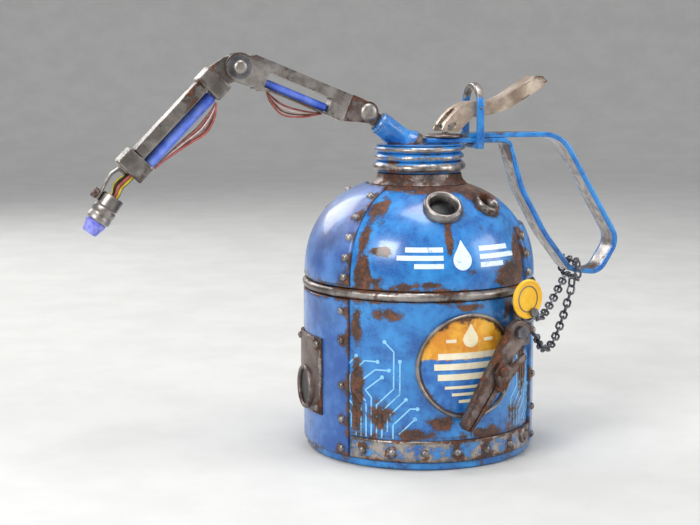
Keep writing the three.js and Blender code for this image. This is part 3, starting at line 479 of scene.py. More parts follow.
def tube(points, radius, sides=12, steps=8, closed=False):
    """Round bar along a smooth curve through points."""
    line = smooth_line(points, steps, closed)
    ahead = [line[(i + 1) % len(line)] - line[i - 1] for i in range(len(line))]
    if not closed:
        ahead[0], ahead[-1] = line[1] - line[0], line[-1] - line[-2]
    lilac_highlight_mask = Vector((0, 0, 1)) if abs(ahead[0].normalized().z) < 0.9 else Vector((0, 1, 0))
    verts = []
    for point, along in zip(line, ahead):
        along = along.normalized()
        side = along.cross(lilac_highlight_mask).normalized()
        lilac_highlight_mask = side.cross(along)
        verts += [tuple(point + radius * (cos(a) * side + sin(a) * lilac_highlight_mask)) for a in turns(sides)]
    return verts, loft(len(line), sides, closed)


def smooth_line(points, steps, closed=False):
    """Catmull-Rom curve through points."""
    points = [Vector(p) for p in points]
    if len(points) < 3:
        return points
    count = len(points)
    line = []
    for i in range(count if closed else count - 1):
        places = [(i + k) % count if closed else min(max(i + k, 0), count - 1) for k in (-1, 0, 1, 2)]
        a, b, c, d = (points[place] for place in places)
        for s in range(steps):
            t = s / steps
            bend = (2 * a - 5 * b + 4 * c - d) * t * t + (3 * b - a - 3 * c + d) * t ** 3
            line.append(0.5 * (2 * b + (c - a) * t + bend))
    if not closed:
        line.append(points[-1])
    return line


def refined(name, node, body, slot, bevel=0.35, spacing=1.8, rust=0.36, bare=0.45, angle=42):
    """A CAD node's solid with rounded edges and close vertices, worn along its edges."""
    bm = bmesh.new()
    bm.from_mesh(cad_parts[node].data)
    bmesh.ops.remove_doubles(bm, verts=bm.verts, dist=1e-6)
    bmesh.ops.dissolve_limit(bm, angle_limit=radians(1.5), verts=bm.verts, edges=bm.edges)
    sharp = [e for e in bm.edges if len(e.link_faces) == 2 and e.calc_face_angle(0) > radians(32)]
    samples = []
    for e in sharp:
        a, b = e.verts[0].co, e.verts[1].co
        count = max(1, int((b - a).length / (0.6 * MM)))
        samples += [a.lerp(b, k / count) for k in range(count + 1)]
    bmesh.ops.bevel(bm, geom=sharp, offset=bevel * MM, segments=2, profile=0.6, affect="EDGES",
                    clamp_overlap=True)
    bmesh.ops.triangulate(bm, faces=bm.faces)
    for _ in range(4):
        long_edges = [e for e in bm.edges if e.calc_length() > spacing * MM]
        if not long_edges:
            break
        bmesh.ops.subdivide_edges(bm, edges=long_edges, cuts=1)
        bmesh.ops.triangulate(bm, faces=[f for f in bm.faces if len(f.verts) > 3])
    bmesh.ops.recalc_face_normals(bm, faces=bm.faces)
    mesh = bpy.data.meshes.new(name)
    bm.to_mesh(mesh)
    bm.free()
    tree = nearby(samples)

    def wear(x, y, z):
        near = tree.find(Vector((x, y, z)) * MM)[2] / MM
        return rust * exp(-near / 2.2), bare * exp(-near / 0.9)

    settle(name, mesh, body, slot, [node], None, wear, angle)


# ---- the tank's surfaces ---------------------------------------------------------------------


def radial(azimuth):
    a = radians(azimuth)
    return Vector((sin(a), -cos(a), 0))


def dome_radius(z):
    t = min(max((z - DOME_BASE) / DOME_H, 0), 1)
    return DOME_R * max(1 - t ** DOME_POWER, 0) ** (1 / DOME_POWER)


def dome_slope(z):
    """Angle of the dome's outward normal above the horizontal."""
    t = max((z - DOME_BASE) / DOME_H, 1e-6)
    outward = (dome_radius(z) / DOME_R) ** (DOME_POWER - 1) / DOME_R
    return atan2(t ** (DOME_POWER - 1) / DOME_H, outward)


def dome_normal(azimuth, z):
    slope = dome_slope(z)
    return radial(azimuth) * cos(slope) + Vector((0, 0, sin(slope)))


def on_dome(azimuth, z, lift):
    return radial(azimuth) * dome_radius(z) + Vector((0, 0, z)) + dome_normal(azimuth, z) * lift


def on_wall(azimuth, z, lift):
    return radial(azimuth) * (TANK_R + lift) + Vector((0, 0, z))


def dome_heights(bottom, top, count):
    """Heights spread evenly along the dome's curve."""
    fine = [bottom + (top - bottom) * i / 400 for i in range(401)]
    reach = [0]
    for a, b in zip(fine, fine[1:]):
        reach.append(reach[-1] + hypot(b - a, dome_radius(b) - dome_radius(a)))
    return [float(np.interp(reach[-1] * i / count, reach, fine)) for i in range(count + 1)], reach[-1]


# Rust patches: azimuth, height, half width and half height in mm, strength
PATCHES = [
    (-47, 83, 4, 9, 0.5), (-49, 96, 3, 10, 0.45), (-38, 91, 6, 2.4, 0.45), (-40, 79, 3, 3, 0.3),
    (-46, 107, 5, 5, 0.4), (-3, 98, 1.4, 7, 0.55), (-3, 117, 16, 3, 0.6), (60, 115, 30, 5, 0.4),
    (-80, 117, 30, 3, 0.4), (36, 80, 9, 5, 0.6), (43, 86, 5, 10, 0.5), (28, 77.5, 7, 2.5, 0.45),
    (18, 100, 2, 2, 0.3), (8, 82, 2.5, 2, 0.3), (-14, 78, 5, 1.6, 0.35), (-26, 77, 4, 1.6, 0.35),
    (48, 70, 5, 8, 0.45), (-50, 60, 3, 9, 0.45), (-50, 30, 3, 14, 0.45), (-30, 66, 8, 3, 0.3),
    (-8, 20, 6, 4, 0.4), (-20, 15, 9, 3, 0.45), (-36, 22, 5, 5, 0.3), (16, 14, 9, 2.6, 0.4),
    (34, 20, 6, 6, 0.35), (44, 40, 4, 12, 0.35), (30, 66, 3, 4, 0.4), (6.3, 68.5, 10, 1.8, 0.3),
    (-14, 50, 3, 5, 0.35), (150, 90, 14, 10, 0.45), (170, 30, 18, 9, 0.45), (-150, 55, 10, 14, 0.4),
    (140, 20, 12, 9, 0.4), (180, 105, 10, 7, 0.4),
]


def tank_wear(x, y, z):
    """Rust in patches, along the seams and round the portholes."""
    azimuth = degrees(atan2(x, -y))
    radius = hypot(x, y)
    rust = 0.0
    for az, height, wide, tall, strength in PATCHES:
        turn = (azimuth - az + 180) % 360 - 180
        d = (radians(turn) * radius / wide) ** 2 + ((z - height) / tall) ** 2
        if d < 6:
            rust = max(rust, 1.9 * strength * exp(-d * 0.7))
    seam = min(abs(abs(z - BEAD_Z) - BEAD_R - 0.4), abs(z - BAND_TOP))
    rust = max(rust, 0.55 * exp(-seam / 1.6))
    for hole in PORTHOLES.values():
        d = (Vector((x, y, z)) - on_dome(hole["azimuth"], hole["z"], 0)).length - hole["outer"]
        rust = max(rust, 0.6 * exp(-abs(d) / 1.6))
    return rust, 0.12 * exp(-seam / 3)


def cylinder_cutter(centre, direction, radius, length):
    mesh = bpy.data.meshes.new("cutter")
    bm = bmesh.new()
    size = radius * MM
    bmesh.ops.create_cone(bm, cap_ends=True, segments=64, radius1=size, radius2=size, depth=length * MM)
    bm.to_mesh(mesh)
    bm.free()
    cutter = placed("cutter", mesh)
    cutter.matrix_world = facing(Vector(centre) * MM, direction)
    return cutter


def cut_away(obj, cutters):
    for cutter in cutters:
        modifier = obj.modifiers.new("cut", "BOOLEAN")
        modifier.object = cutter
        modifier.solver = "EXACT"
    bpy.context.view_layer.update()
    graph = bpy.context.evaluated_depsgraph_get()
    mesh = bpy.data.meshes.new_from_object(obj.evaluated_get(graph))
    obj.modifiers.clear()
    obj.data = mesh
    for cutter in cutters:
        bpy.data.objects.remove(cutter)


def build_tank():
    inner = TANK_R - SHEET
    foot = [(0, 0.6), (TANK_R - 4, 0.6), (TANK_R - 2.6, 0), (TANK_R - 0.9, 0)]
    foot += [(TANK_R - 0.9 + 0.9 * sin(a), 0.9 - 0.9 * cos(a)) for a in (0.4, 0.8, 1.2, 1.57)]
    foot += [(TANK_R, z) for z in (1.6, 2.3, 3)] + [(inner, 3), (inner, 1.4), (0, 1.4)]
    piece("base_pan_skin", *lathe(foot, 200), "can", "blue_paint", ["base_pan"], wear=(0.3, 0.1))
    heights = [WALL_BOTTOM + (WALL_TOP - WALL_BOTTOM) * i / 84 for i in range(85)]
    wall = [(TANK_R, z) for z in heights] + [(inner, WALL_TOP), (inner, WALL_BOTTOM)]
    piece("tank_wall_skin", *lathe(wall, 360), "can", "blue_paint", ["tank_wall"], wear=tank_wear)
    bead = [(TANK_R - GAP + BEAD_R * cos(a), BEAD_Z + BEAD_R * sin(a)) for a in arc(-90, 90, 14)]
    bead += [(inner, BEAD_Z + BEAD_R), (inner, BEAD_Z - BEAD_R)]
    verts, faces = lathe(bead, 288)
    dented = []
    for x, y, z in verts:
        a = atan2(y, x)
        pull = 1 + 0.0024 * sin(9 * a + 1) * sin(23 * a) if hypot(x, y) > TANK_R else 1
        dented.append((x * pull, y * pull, z))
    piece("seam_bead_ring", dented, faces, "can", "worn_steel", ["seam_bead"],
          wear=lambda x, y, z: (0.12 + 0.34 * (abs(z - BEAD_Z) / BEAD_R) ** 2 + bead_rust(x, y), 0.3))
    heights, _ = dome_heights(DOME_BASE, DOME_TOP, 84)
    outer = [(dome_radius(z), z) for z in heights]
    dome_profile = outer + [(dome_radius(DOME_TOP) - 1.2, DOME_TOP - 0.2)]
    dome_profile += [(dome_radius(z) - SHEET, z - 0.4) for z in reversed(heights[::6][:-1])]
    dome_profile[-1] = (DOME_R - SHEET, DOME_BASE)
    verts, faces = lathe(dome_profile, 320)
    shell = placed("dome_raw", closed_mesh("dome_skin", verts, faces))
    cutters = []
    for hole in PORTHOLES.values():
        place = hole["azimuth"], hole["z"]
        cutters.append(cylinder_cutter(on_dome(*place, 0), dome_normal(*place), hole["inner"] + 0.8, 14))
    cut_away(shell, cutters)
    mesh = shell.data
    bpy.data.objects.remove(shell)
    settle("dome_skin", mesh, "can", "blue_paint", ["dome"], wear=tank_wear)
    neck_top = node_box("threaded_neck")[1].z
    skirt = [(NECK_BORE, 117.2), (20.9, 116.5), (20, 117.4), (19.2, 118.3), (18.7, 119.4), (18.5, 121)]
    skirt.append((NECK_R, 121))
    for turn in range(3):
        z = 122.3 + turn * 2.4
        skirt += [(NECK_R, z), (NECK_R + 0.4, z + 0.6), (NECK_R + 0.4, z + 1.2), (NECK_R, z + 1.8)]
    skirt += [(NECK_R, neck_top), (NECK_BORE, neck_top)]
    piece("neck_skirt", *lathe(skirt, 160), "can", "rusty_steel", ["threaded_neck"], wear=(0.25, 0.1))


# Rust along the seam bead: azimuth, spread in degrees, strength
BEAD_RUST = [(44, 12, 0.35), (20, 5, 0.25), (-4, 4, 0.2), (-58, 8, 0.2), (150, 25, 0.3), (-140, 20, 0.3)]


def bead_rust(x, y):
    azimuth = degrees(atan2(x, -y))
    return sum(strength * exp(-(((azimuth - az + 180) % 360 - 180) / spread) ** 2)
               for az, spread, strength in BEAD_RUST)


# ---- riveted plates --------------------------------------------------------------------------


def rivet(centre, normal, height=1.25):
    """Domed head on a low washer-like foot."""
    profile = [(0, -0.5), (RIVET_R, -0.5), (RIVET_R, 0.1)]
    profile += [(RIVET_R * 0.96 * cos(a), 0.1 + height * sin(a)) for a in arc(0, 90, 7)[:-1]]
    profile.append((0, 0.1 + height))
    return moved(lathe(profile, 22), facing(centre, normal))


def plate(node, surface, azimuths, heights, rows, slot, base_radius, more_rust=0.0, more_bare=0.0,
          tank_share=0.0):
    """Curved sheet with rounded edges on the wall or dome, and its rivets."""
    start, end = azimuths
    edge = 0.8
    steps = 60
    height = heights[1] - heights[0]
    if surface is on_dome:
        levels, height = dome_heights(*heights, steps)
    across = spaced(radians(end - start) * base_radius, 1.0, edge)
    upward = spaced(height, 1.0, edge)
    width = across[-1]
    top, bottom, marks = [], [], []
    for s in across:
        azimuth = start + (end - start) * s / width
        for t in upward:
            if surface is on_dome:
                z = float(np.interp(t / height * steps, range(steps + 1), levels))
            else:
                z = heights[0] + t
            nearest = min(s, width - s, t, height - t)
            top.append(tuple(surface(azimuth, z, GAP + crown(nearest, edge, PLATE_T))))
            bottom.append(tuple(surface(azimuth, z, GAP - 0.25)))
            marks.append(nearest)
    heads = []
    for az, z in rows:
        normal = dome_normal(az, z) if surface is on_dome else radial(az)
        heads.append((surface(az, z, GAP + PLATE_T), normal))
    tree = nearby([c for c, _ in heads])
    edges = nearby([Vector(p) for p in top])

    def wear(x, y, z):
        point = Vector((x, y, z))
        rim = marks[edges.find(point)[1]]
        near = tree.find(point)[2]
        # Rim term: rust along the plate's edges. Ring just outside each rivet head: mostly dark halo, painted
        # shade where head meets sheet, with some rust.
        rust = 0.9 * (0.5 * exp(-rim / 2.4) + 0.45 * exp(-abs(near - 2.2) / 1.1))
        under = tank_share * tank_wear(x, y, z)[0] if tank_share else 0
        return rust + more_rust + under, 0.5 * exp(-abs(rim - 0.6) / 0.5) + more_bare

    def head_wear(x, y, z):
        return 0.02 + 0.4 * min(tree.find(Vector((x, y, z)))[2] / RIVET_R, 1) ** 4, 0.3

    piece(f"{node}_skin", *grid_solid(len(across), len(upward), top, bottom), "can", slot, [node], wear=wear)
    piece(f"{node}_rivets", *add_up(*[rivet(c, n) for c, n in heads]), "can", "worn_steel", wear=head_wear)


def build_plates():
    low, high = node_box("side_plate_left")
    rows = [6.4, 18.8, 33.5, 53, 65.4]
    inset = 4
    for side, sign, slot in (("left", -1, "violet_paint"), ("right", 1, "blue_paint")):
        span = tuple(sorted(sign * a for a in SIDE_PLATE))
        heads = [(azimuth, z) for azimuth in (span[0] + inset, span[1] - inset) for z in rows]
        plate(f"side_plate_{side}", on_wall, span, (low.z, high.z), heads, slot, TANK_R, tank_share=0.45)
    for side, span, count, slot in (
        ("left", LEFT_DOME_PLATE, 5, "violet_paint"), ("right", RIGHT_DOME_PLATE, 3, "blue_paint"),
    ):
        start, end, bottom, top = span
        heads = []
        for i in range(count):
            z = bottom + 3.5 + (top - 4 - bottom - 3.5) * i / (count - 1)
            inset = 2.6 / (dome_radius(z) * radians(1))
            heads += [(start + inset, z), (end - inset, z)]
        base_radius = dome_radius(bottom + 0.4 * (top - bottom))
        plate(f"dome_plate_{side}", on_dome, (start, end), (bottom, top), heads, slot, base_radius, 0.06,
              0.05)
    low, high = node_box("base_band")
    heads = [(azimuth, 7.5) for azimuth in (-46, -31, -15.5, 0, 15.5, 31)]
    plate("base_band", on_wall, BAND, (low.z, high.z), heads, "blue_paint", TANK_R, 0.12, 0.72)
    eye = radial(44)
    screw_seat = facing(eye * (PLATE_TOP_R - 0.2) + Vector((0, 0, 9)), eye)
    washer = lathe([(2.0, 0), (3.6, 0), (3.6, 0.9), (3.2, 1.4), (2.6, 1.4), (2.0, 0.8)], 40)
    head = lathe([(0, -0.2), (1.9, -0.2), (1.9, 1.5), (1.5, 2.1), (0.5, 2.3), (0, 2.3)], 32)
    piece("band_screw", *add_up(moved(washer, screw_seat), moved(head, screw_seat)), "can", "rusty_steel",
          wear=(0.0, 0.4))


def build_port():
    lift = PLATE_T + GAP
    azimuth, bottom, top = PORT["azimuth"], PORT["bottom"], PORT["top"]
    span = (azimuth - PORT["half"], azimuth + PORT["half"])

    def raised(turn, z, height):
        return on_wall(turn, z, height + lift)

    heads = [(turn, z) for turn in (span[0] + 3.2, span[1] - 3.2) for z in (bottom + 3, top - 3)]
    plate("port_plate", raised, span, (bottom, top), heads, "rusty_steel", TANK_R + 2, -0.12, 0.25)
    seat = facing(radial(azimuth) * (TANK_R + 1.6) + Vector((0, 0, PORT["ring_z"])), radial(azimuth))
    outer, inner = PORT["ring_r"], PORT["ring_r"] - 1.9
    middle = (outer + inner) / 2
    profile = [(inner, 0), (outer, 0), (outer, 1.2)]
    profile += [(middle + 0.95 * cos(a), 1.4 + sin(a)) for a in arc(0, 180, 8)]
    piece("port_ring", *moved(lathe(profile, 72), seat), "can", "rusty_steel", wear=(0.12, 0.25))


def build_portholes():
    for name, hole in PORTHOLES.items():
        place = hole["azimuth"], hole["z"]
        seat = facing(on_dome(*place, 0), dome_normal(*place))
        inner, outer = hole["inner"], hole["outer"]
        middle, half = (inner + outer) / 2 + 0.1, (outer - inner) / 2 - 0.1
        profile = [(inner, -3), (inner + 0.6, -3), (inner + 0.6, -0.6), (outer, -0.9), (outer, 0.6)]
        profile.append((outer - 0.15, 1.2))
        profile += [(middle + half * cos(a), 1.3 + 1.4 * sin(a)) for a in arc(0, 180, 9)]
        profile.append((inner, 1))
        piece(f"porthole_{name}_ring", *moved(lathe(profile, 72), seat), "can", "worn_steel",
              [f"porthole_{name}_bezel"], wear=(0.26, 0.35))
        pane = [(0, -1.5), (inner - 0.1, -1.5), (inner - 0.1, -0.9)]
        pane += [(inner * 0.7, -0.5), (inner * 0.35, -0.28), (0, -0.2)]
        piece(f"porthole_{name}_pane", *moved(lathe(pane, 56), seat), "can", "dark_glass",
              [f"porthole_{name}_glass"])


# ---- painted marks ---------------------------------------------------------------------------


def ribbon(points, width, surface, azimuth, lift=0.14):
    """Flat stroke through (sideways mm, height mm) points, lying on the tank."""
    line = dense(points, 1.5)
    top, bottom = [], []
    for i, point in enumerate(line):
        along = (line[min(i + 1, len(line) - 1)] - line[max(i - 1, 0)]).normalized()
        side = Vector((-along.y, along.x)) * width / 2
        for s in (-1, -0.4, 0.4, 1):
            place = point + side * s
            turn = azimuth + degrees(place.x / TANK_R)
            top.append(tuple(surface(turn, place.y, lift)))
            bottom.append(tuple(surface(turn, place.y, -0.1)))
    return grid_solid(len(line), 4, top, bottom)


def blot(outline, surface, azimuth, lift=0.14):
    """Filled star-shaped outline of (sideways mm, height mm) points, lying on the tank."""
    centre = sum((Vector(p) for p in outline), Vector((0, 0))) / len(outline)
    shares = (0, 0.25, 0.5, 0.75, 1)
    verts = []
    for height in (lift, -0.1):
        for share in shares:
            for p in outline:
                place = centre.lerp(Vector(p), share)
                verts.append(tuple(surface(azimuth + degrees(place.x / TANK_R), place.y, height)))
    return verts, stacked(len(shares), len(outline))


def disc_outline(x, z, radius, count=24):
    return [(x + radius * cos(a), z + radius * sin(a)) for a in turns(count)]


def drop_outline(x, z, radius, count=36):
    """Oil drop: round below, drawn to a point above."""
    points = []
    for turn in turns(count):
        a = turn - pi / 2
        peak = max(sin(a), 0) ** 3
        points.append((x + radius * cos(a) * (1 - 0.75 * peak), z + radius * (sin(a) + 0.9 * peak)))
    return points


def build_marks():
    """A drop between bars on the dome, and fine branching lines on the wall."""
    row = 89.0
    middle = 2.5
    parts = [blot(drop_outline(middle, row - 1, 4.2), on_dome, 0)]
    for level, near, far in ((3.3, 8.5, 25), (0, 8.5, 28.5), (-3.3, 8.5, 21)):
        for side in (-1, 1):
            ends = [(middle + side * near, row + level), (middle + side * far, row + level)]
            parts.append(ribbon(ends, 2.0, on_dome, 0))
    piece("dome_mark", *add_up(*parts), "can", "blue_paint", material=FADED_WHITE, wear=tank_wear)

    left = [
        [(-14, 13), (-14, 24), (-20, 30), (-20, 41), (-14, 47)],
        [(-11.6, 13), (-11.6, 26), (-17.4, 32), (-17.4, 38), (-10, 45.4), (-4, 45.4)],
        [(-9.2, 13), (-9.2, 28), (-15, 34), (-5, 42), (1, 42)],
        [(-6.8, 13), (-6.8, 30), (-9.6, 33), (-2, 39)],
        [(-4.4, 13), (-4.4, 27), (3, 34.4), (3, 50), (-1, 54)],
        [(-2, 13), (-2, 24.6), (5.6, 32.2), (5.6, 46)],
        [(0.4, 16), (0.4, 22.2), (8.2, 30)],
        [(2.8, 13), (2.8, 19), (10, 26.2), (13, 26.2)],
        [(5.2, 15), (12, 21.8)],
        [(-16.4, 16), (-16.4, 22), (-21.5, 27)],
    ]
    right = [
        [(-6, 14), (-6, 24), (-1, 29), (-1, 49)],
        [(-3.6, 14), (-3.6, 22), (1.4, 27), (1.4, 46)],
        [(-1.2, 14), (-1.2, 20), (3.8, 25), (3.8, 40), (6.6, 43)],
        [(1.2, 16), (6.2, 21), (6.2, 36)],
        [(-8.4, 18), (-8.4, 27), (-4, 31.4), (-4, 44), (-7, 47)],
        [(3.6, 15), (8.6, 20), (8.6, 30)],
    ]
    for side, azimuth, lines in (("left", -34, left), ("right", 43, right)):
        strokes = [ribbon(line, 0.62, on_wall, azimuth) for line in lines]
        dots = [blot(disc_outline(*line[-1], 0.85, 12), on_wall, azimuth, 0.17) for line in lines]
        piece(f"wall_traces_{side}", *add_up(*strokes, *dots), "can", "blue_paint", material=TRACE_BLUE,
              wear=tank_wear)


def build_badge():
    az, cz, radius, rim = BADGE["azimuth"], BADGE["z"], BADGE["radius"], BADGE["rim"]
    verts = []
    for a in turns(180):
        for b in turns(10):
            r = radius - rim / 2 + rim / 2 * 1.05 * cos(b)
            verts.append(flat_point(az, r * cos(a), cz + r * sin(a), 1.1 + 1.1 * sin(b)))
    piece("badge_rim_ring", verts, loft(180, 10), "can", "worn_steel", ["badge_rim"], wear=(0.14, 0.25))
    outer = radius - rim - 0.1
    rings = 20
    around = turns(96)
    verts = []
    for height in (BADGE_FACE, 0.3):
        for r in (outer * i / rings for i in range(rings + 1)):
            verts += [flat_point(az, r * cos(a), cz + r * sin(a), height) for a in around]

    def wear(x, y, z):
        side = radians(degrees(atan2(x, -y)) - az) * TANK_R
        r = hypot(side, z - cz)
        patch = 0.25 * exp(-((side - 6) ** 2 + (z - cz + 12) ** 2) / 30)
        return 0.5 * exp(-(outer - r) / 1.6) + patch, 0.1

    faces = stacked(rings + 1, len(around))
    piece("badge_face_disc", verts, faces, "can", "badge_face", ["badge_disc"], wear=wear)

    def on_badge(azimuth, z, lift):
        return on_wall(azimuth, z, BADGE_FACE + lift)

    marks = [blot(drop_outline(0, cz + 11.5, 3.4), on_badge, az)]
    for x, level, half, width in (
        (0, 4.6, 14, 2.6), (0, 0.2, 15.5, 2.6), (0, -4.2, 14, 2.6), (0, -8.6, 11, 1.2), (0, -11.6, 8, 1.2),
        (0, -14.6, 5, 1.2), (-8.5, 11, 2.2, 1.4), (8.5, 11, 2.2, 1.4),
    ):
        marks.append(ribbon([(x - half, cz + level), (x + half, cz + level)], width, on_badge, az))
    piece("badge_marks", *add_up(*marks), "can", "badge_face", material=CREAM, wear=wear)


def flat_point(azimuth, sideways, z, lift):
    """Point on the wall reached by going sideways along a flat disc seen from outside."""
    turn = degrees(asin(sideways / TANK_R))
    return on_wall(azimuth + turn, z, lift)


# ---- cap, stub, handle, arch, lever ------------------------------------------------------------


def build_cap():
    profile = [(17.9, 121.3)]
    for bottom, height, radius in ((121.4, 5.0, 20.4), (126.4, 3.8, 19.7), (130.2, 2.9, 19.9)):
        for i in range(13):
            t = i / 12
            profile.append((radius - 1.8 + 1.8 * sin(pi * t) ** 0.75, bottom + height * t))
    profile += [(19, CAP_TOP - 0.2), (18.4, CAP_TOP), (0, CAP_TOP), (0, 131.2), (17.9, 131.2)]
    verts, faces = lathe(profile, 220)
    tilted = []
    for x, y, z in verts:
        a = atan2(y, x)
        swing_z = 0.35 * sin(a + 0.6) * min(max((z - 122) / 2, 0), 1) * min(max((133 - z) / 2, 0), 1)
        r = hypot(x, y)
        pull = 1 + (0.004 * sin(7 * a) * sin(3 * a + z) if r > 18.4 else 0)
        tilted.append((x * pull, y * pull, z + swing_z))

    def wear(x, y, z):
        ridge = max(hypot(x, y) - 18.6, 0)
        return 0.2 + 0.1 * sin(z * 2), 0.34 + 0.42 * ridge

    piece("screw_cap_shell", tilted, faces, "can", "blue_paint", ["screw_cap"], wear=wear)
    refined("pump_gland_cap", "pump_gland", "can", "rusty_steel", 0.3, 1.6)


def rounded_path(corners, steps=14):
    """Line through (x, z, radius) corners, each turned along an arc of its radius."""
    points = [Vector((x, z)) for x, z, _ in corners]
    path = [points[0]]
    for i in range(1, len(points) - 1):
        back = (points[i - 1] - points[i]).normalized()
        ahead = (points[i + 1] - points[i]).normalized()
        half = acos(max(-1, min(1, back.dot(ahead)))) / 2
        reach = corners[i][2] / tan(half)
        centre = points[i] + (back + ahead).normalized() * corners[i][2] / sin(half)
        start, end = points[i] + back * reach - centre, points[i] + ahead * reach - centre
        turn = atan2(start.x * end.y - start.y * end.x, start.dot(end))
        for k in range(steps + 1):
            a = turn * k / steps
            path.append(centre + Vector((start.x * cos(a) - start.y * sin(a),
                                         start.x * sin(a) + start.y * cos(a))))
    path.append(points[-1])
    return dense(path, 2)


def strip(path, width, thickness, lift, corner=0.55, closed=False):
    """Flat bar with rounded corners swept along a 2D path: lift(point, across) gives its 3D points."""
    across, deep = width / 2 - corner, thickness / 2 - corner
    section = []
    for sx, sz, turn in ((1, 1, 0), (-1, 1, 90), (-1, -1, 180), (1, -1, 270)):
        for a in arc(turn, turn + 90, 3):
            section.append((sx * across + corner * cos(a), sz * deep + corner * sin(a)))
    section = dense(section, 1.8, True)
    verts = []
    rings = len(path)
    for i, point in enumerate(path):
        if closed:
            along = path[(i + 1) % rings] - path[i - 1]
        else:
            along = path[min(i + 1, rings - 1)] - path[max(i - 1, 0)]
        along.normalize()
        side = Vector((-along.y, along.x))
        verts += [lift(point + side * v, w) for w, v in section]
    return verts, loft(rings, len(section), closed)


def build_handle():
    low, high = node_box("handle_strap")
    width = high.y - low.y
    path = rounded_path([
        (21.6, STRAP_UPPER_Z, 0), (65.5, STRAP_UPPER_Z, 15), (94.6, 88.7, 9), (85.5, 73.9, 7),
        (71.3, 75.6, 8), (58, 92.8, 50), (46.5, 113.5, 40), (40, STRAP_LOWER_Z, 4), (1.4, STRAP_LOWER_Z, 0),
    ])

    def lift(point, across):
        return point.x, across, point.y

    def wear(x, y, z):
        flat = min((width / 2 - abs(y)) / 1.2, 1)
        near_joint = 0.25 if x < 45 and z > 125 else 0
        near_chain = 0.25 * exp(-((x - 78) ** 2 + (z - 76) ** 2) / 90)
        inside = 0.95 if flat > 0.5 and z < 134 else 0
        on_top = 0.75 if flat > 0.5 and z > STRAP_UPPER_Z + 0.4 else 0
        return 0.05 + 0.2 * flat + near_joint + near_chain, inside + on_top

    strap = strip(path, width, STRAP_T, lift)
    piece("handle_loop", *strap, "can", "blue_paint", ["handle_strap"], wear=wear)
    seam_z = (STRAP_LOWER_Z + STRAP_UPPER_Z) / 2
    seam = [Vector((21.8 + 14.8 * i / 12, seam_z + 0.25 * sin(i * 2.3))) for i in range(13)]
    piece("handle_braze", *strip(seam, width - 1.4, 1.2, lift, 0.4), "can", "rusty_steel")


def build_arch():
    low, high = node_box("lever_arch")
    thickness = 2.4
    middle, width = (low.x + high.x) / 2, high.x - low.x
    half, foot = (high.y - low.y - thickness) / 2, low.z + thickness / 2
    centre = high.z - half - thickness / 2
    path = [Vector((-half, foot + (centre - foot) * i / 14)) for i in range(14)]
    path += [Vector((-half * cos(a), centre + half * sin(a))) for a in arc(0, 180, 26)]
    path += [Vector((half, centre - (centre - foot) * i / 14)) for i in range(1, 15)]
    path += [Vector((half - 2 * half * i / 8, foot - 0.05)) for i in range(1, 8)]

    def wear(x, y, z):
        return 0.12, 0.3 + 0.6 * min(max((z - 151) / 4, 0), 1)

    loop = strip(path, width, thickness, lambda point, across: (middle + across, *point), 0.6, True)
    piece("lever_arch_loop", *loop, "can", "blue_paint", ["lever_arch"], wear=wear)
    refined("lever_pin_bar", "lever_pin", "can", "worn_steel", 0.2, 1.5)
    refined("thumb_lever_shell", "thumb_lever", "lever", "beige_steel", 0.4, 1.6, 0.42, 0.4, 50)


def build_stub():
    axis = (SHOULDER - STUB_BASE).normalized()
    flare = [(0, 0.2), (7.2, 0.2), (6.9, 0.9), (6.4, 1.9), (5.7, 3), (5.3, 4.2), (5.2, 8), (5.2, 12)]
    flare += [(5.2, 15.6), (4.9, 16.6), (4.2, 17.4), (3.2, 17.9), (0, 18)]

    def wear(x, y, z):
        return 0.55 * exp(-(z - CAP_TOP + 0.1) / 2.2) + 0.4 * min(max((z - 143) / 4, 0), 1), 0.5

    socket = moved(lathe(dense(flare, 1.5), 64), facing(STUB_BASE, axis))
    piece("spout_stub_socket", *socket, "can", "blue_paint", wear=wear)
    refined("spout_stub_tongue", "spout_stub", "can", "rusty_steel", 0.25, 1.8)


# ---- spout arms --------------------------------------------------------------------------------


def bolt_heads(name, node, centre, radius, height, half_width):
    """Round heads with a hexagon socket on both ends of a shank across the arm."""
    profile = [(0, 0), (radius, 0), (radius, height * 0.45), (radius * 0.86, height * 0.8)]
    profile += [(radius * 0.6, height), (0, height)]
    floor, rim, socket_r = height * 0.9, height * 1.12, radius * 0.42
    socket = [(0, floor), (socket_r, floor), (socket_r, rim), (0, rim)]
    parts = []
    for side in (-1, 1):
        seat = facing(centre + Vector((0, side * half_width, 0)), (0, side, 0))
        parts += [moved(lathe(profile, 44), seat), moved(lathe(socket, 6), seat)]
    shank = lathe([(0, -half_width), (1.6, -half_width), (1.6, half_width), (0, half_width)], 24)
    parts.append(moved(shank, facing(centre, (0, 1, 0))))
    piece(name, *add_up(*parts), "upper_arm", "worn_steel", [node], wear=(0.16, 0.3))


def tube_piece(name, node, body, matrix, start, end, z, radius):
    profile = [(0, start), (radius - 0.3, start), (radius, start + 0.3)]
    profile += [(radius, start + (end - start) * i / 16) for i in range(1, 16)]
    profile += [(radius, end - 0.3), (radius - 0.3, end), (0, end)]
    turn = matrix @ Matrix.Translation((0, 0, z)) @ Matrix.Rotation(radians(90), 4, "Y")
    piece(name, *moved(lathe(profile, 48), turn), body, "blue_tube", [node])


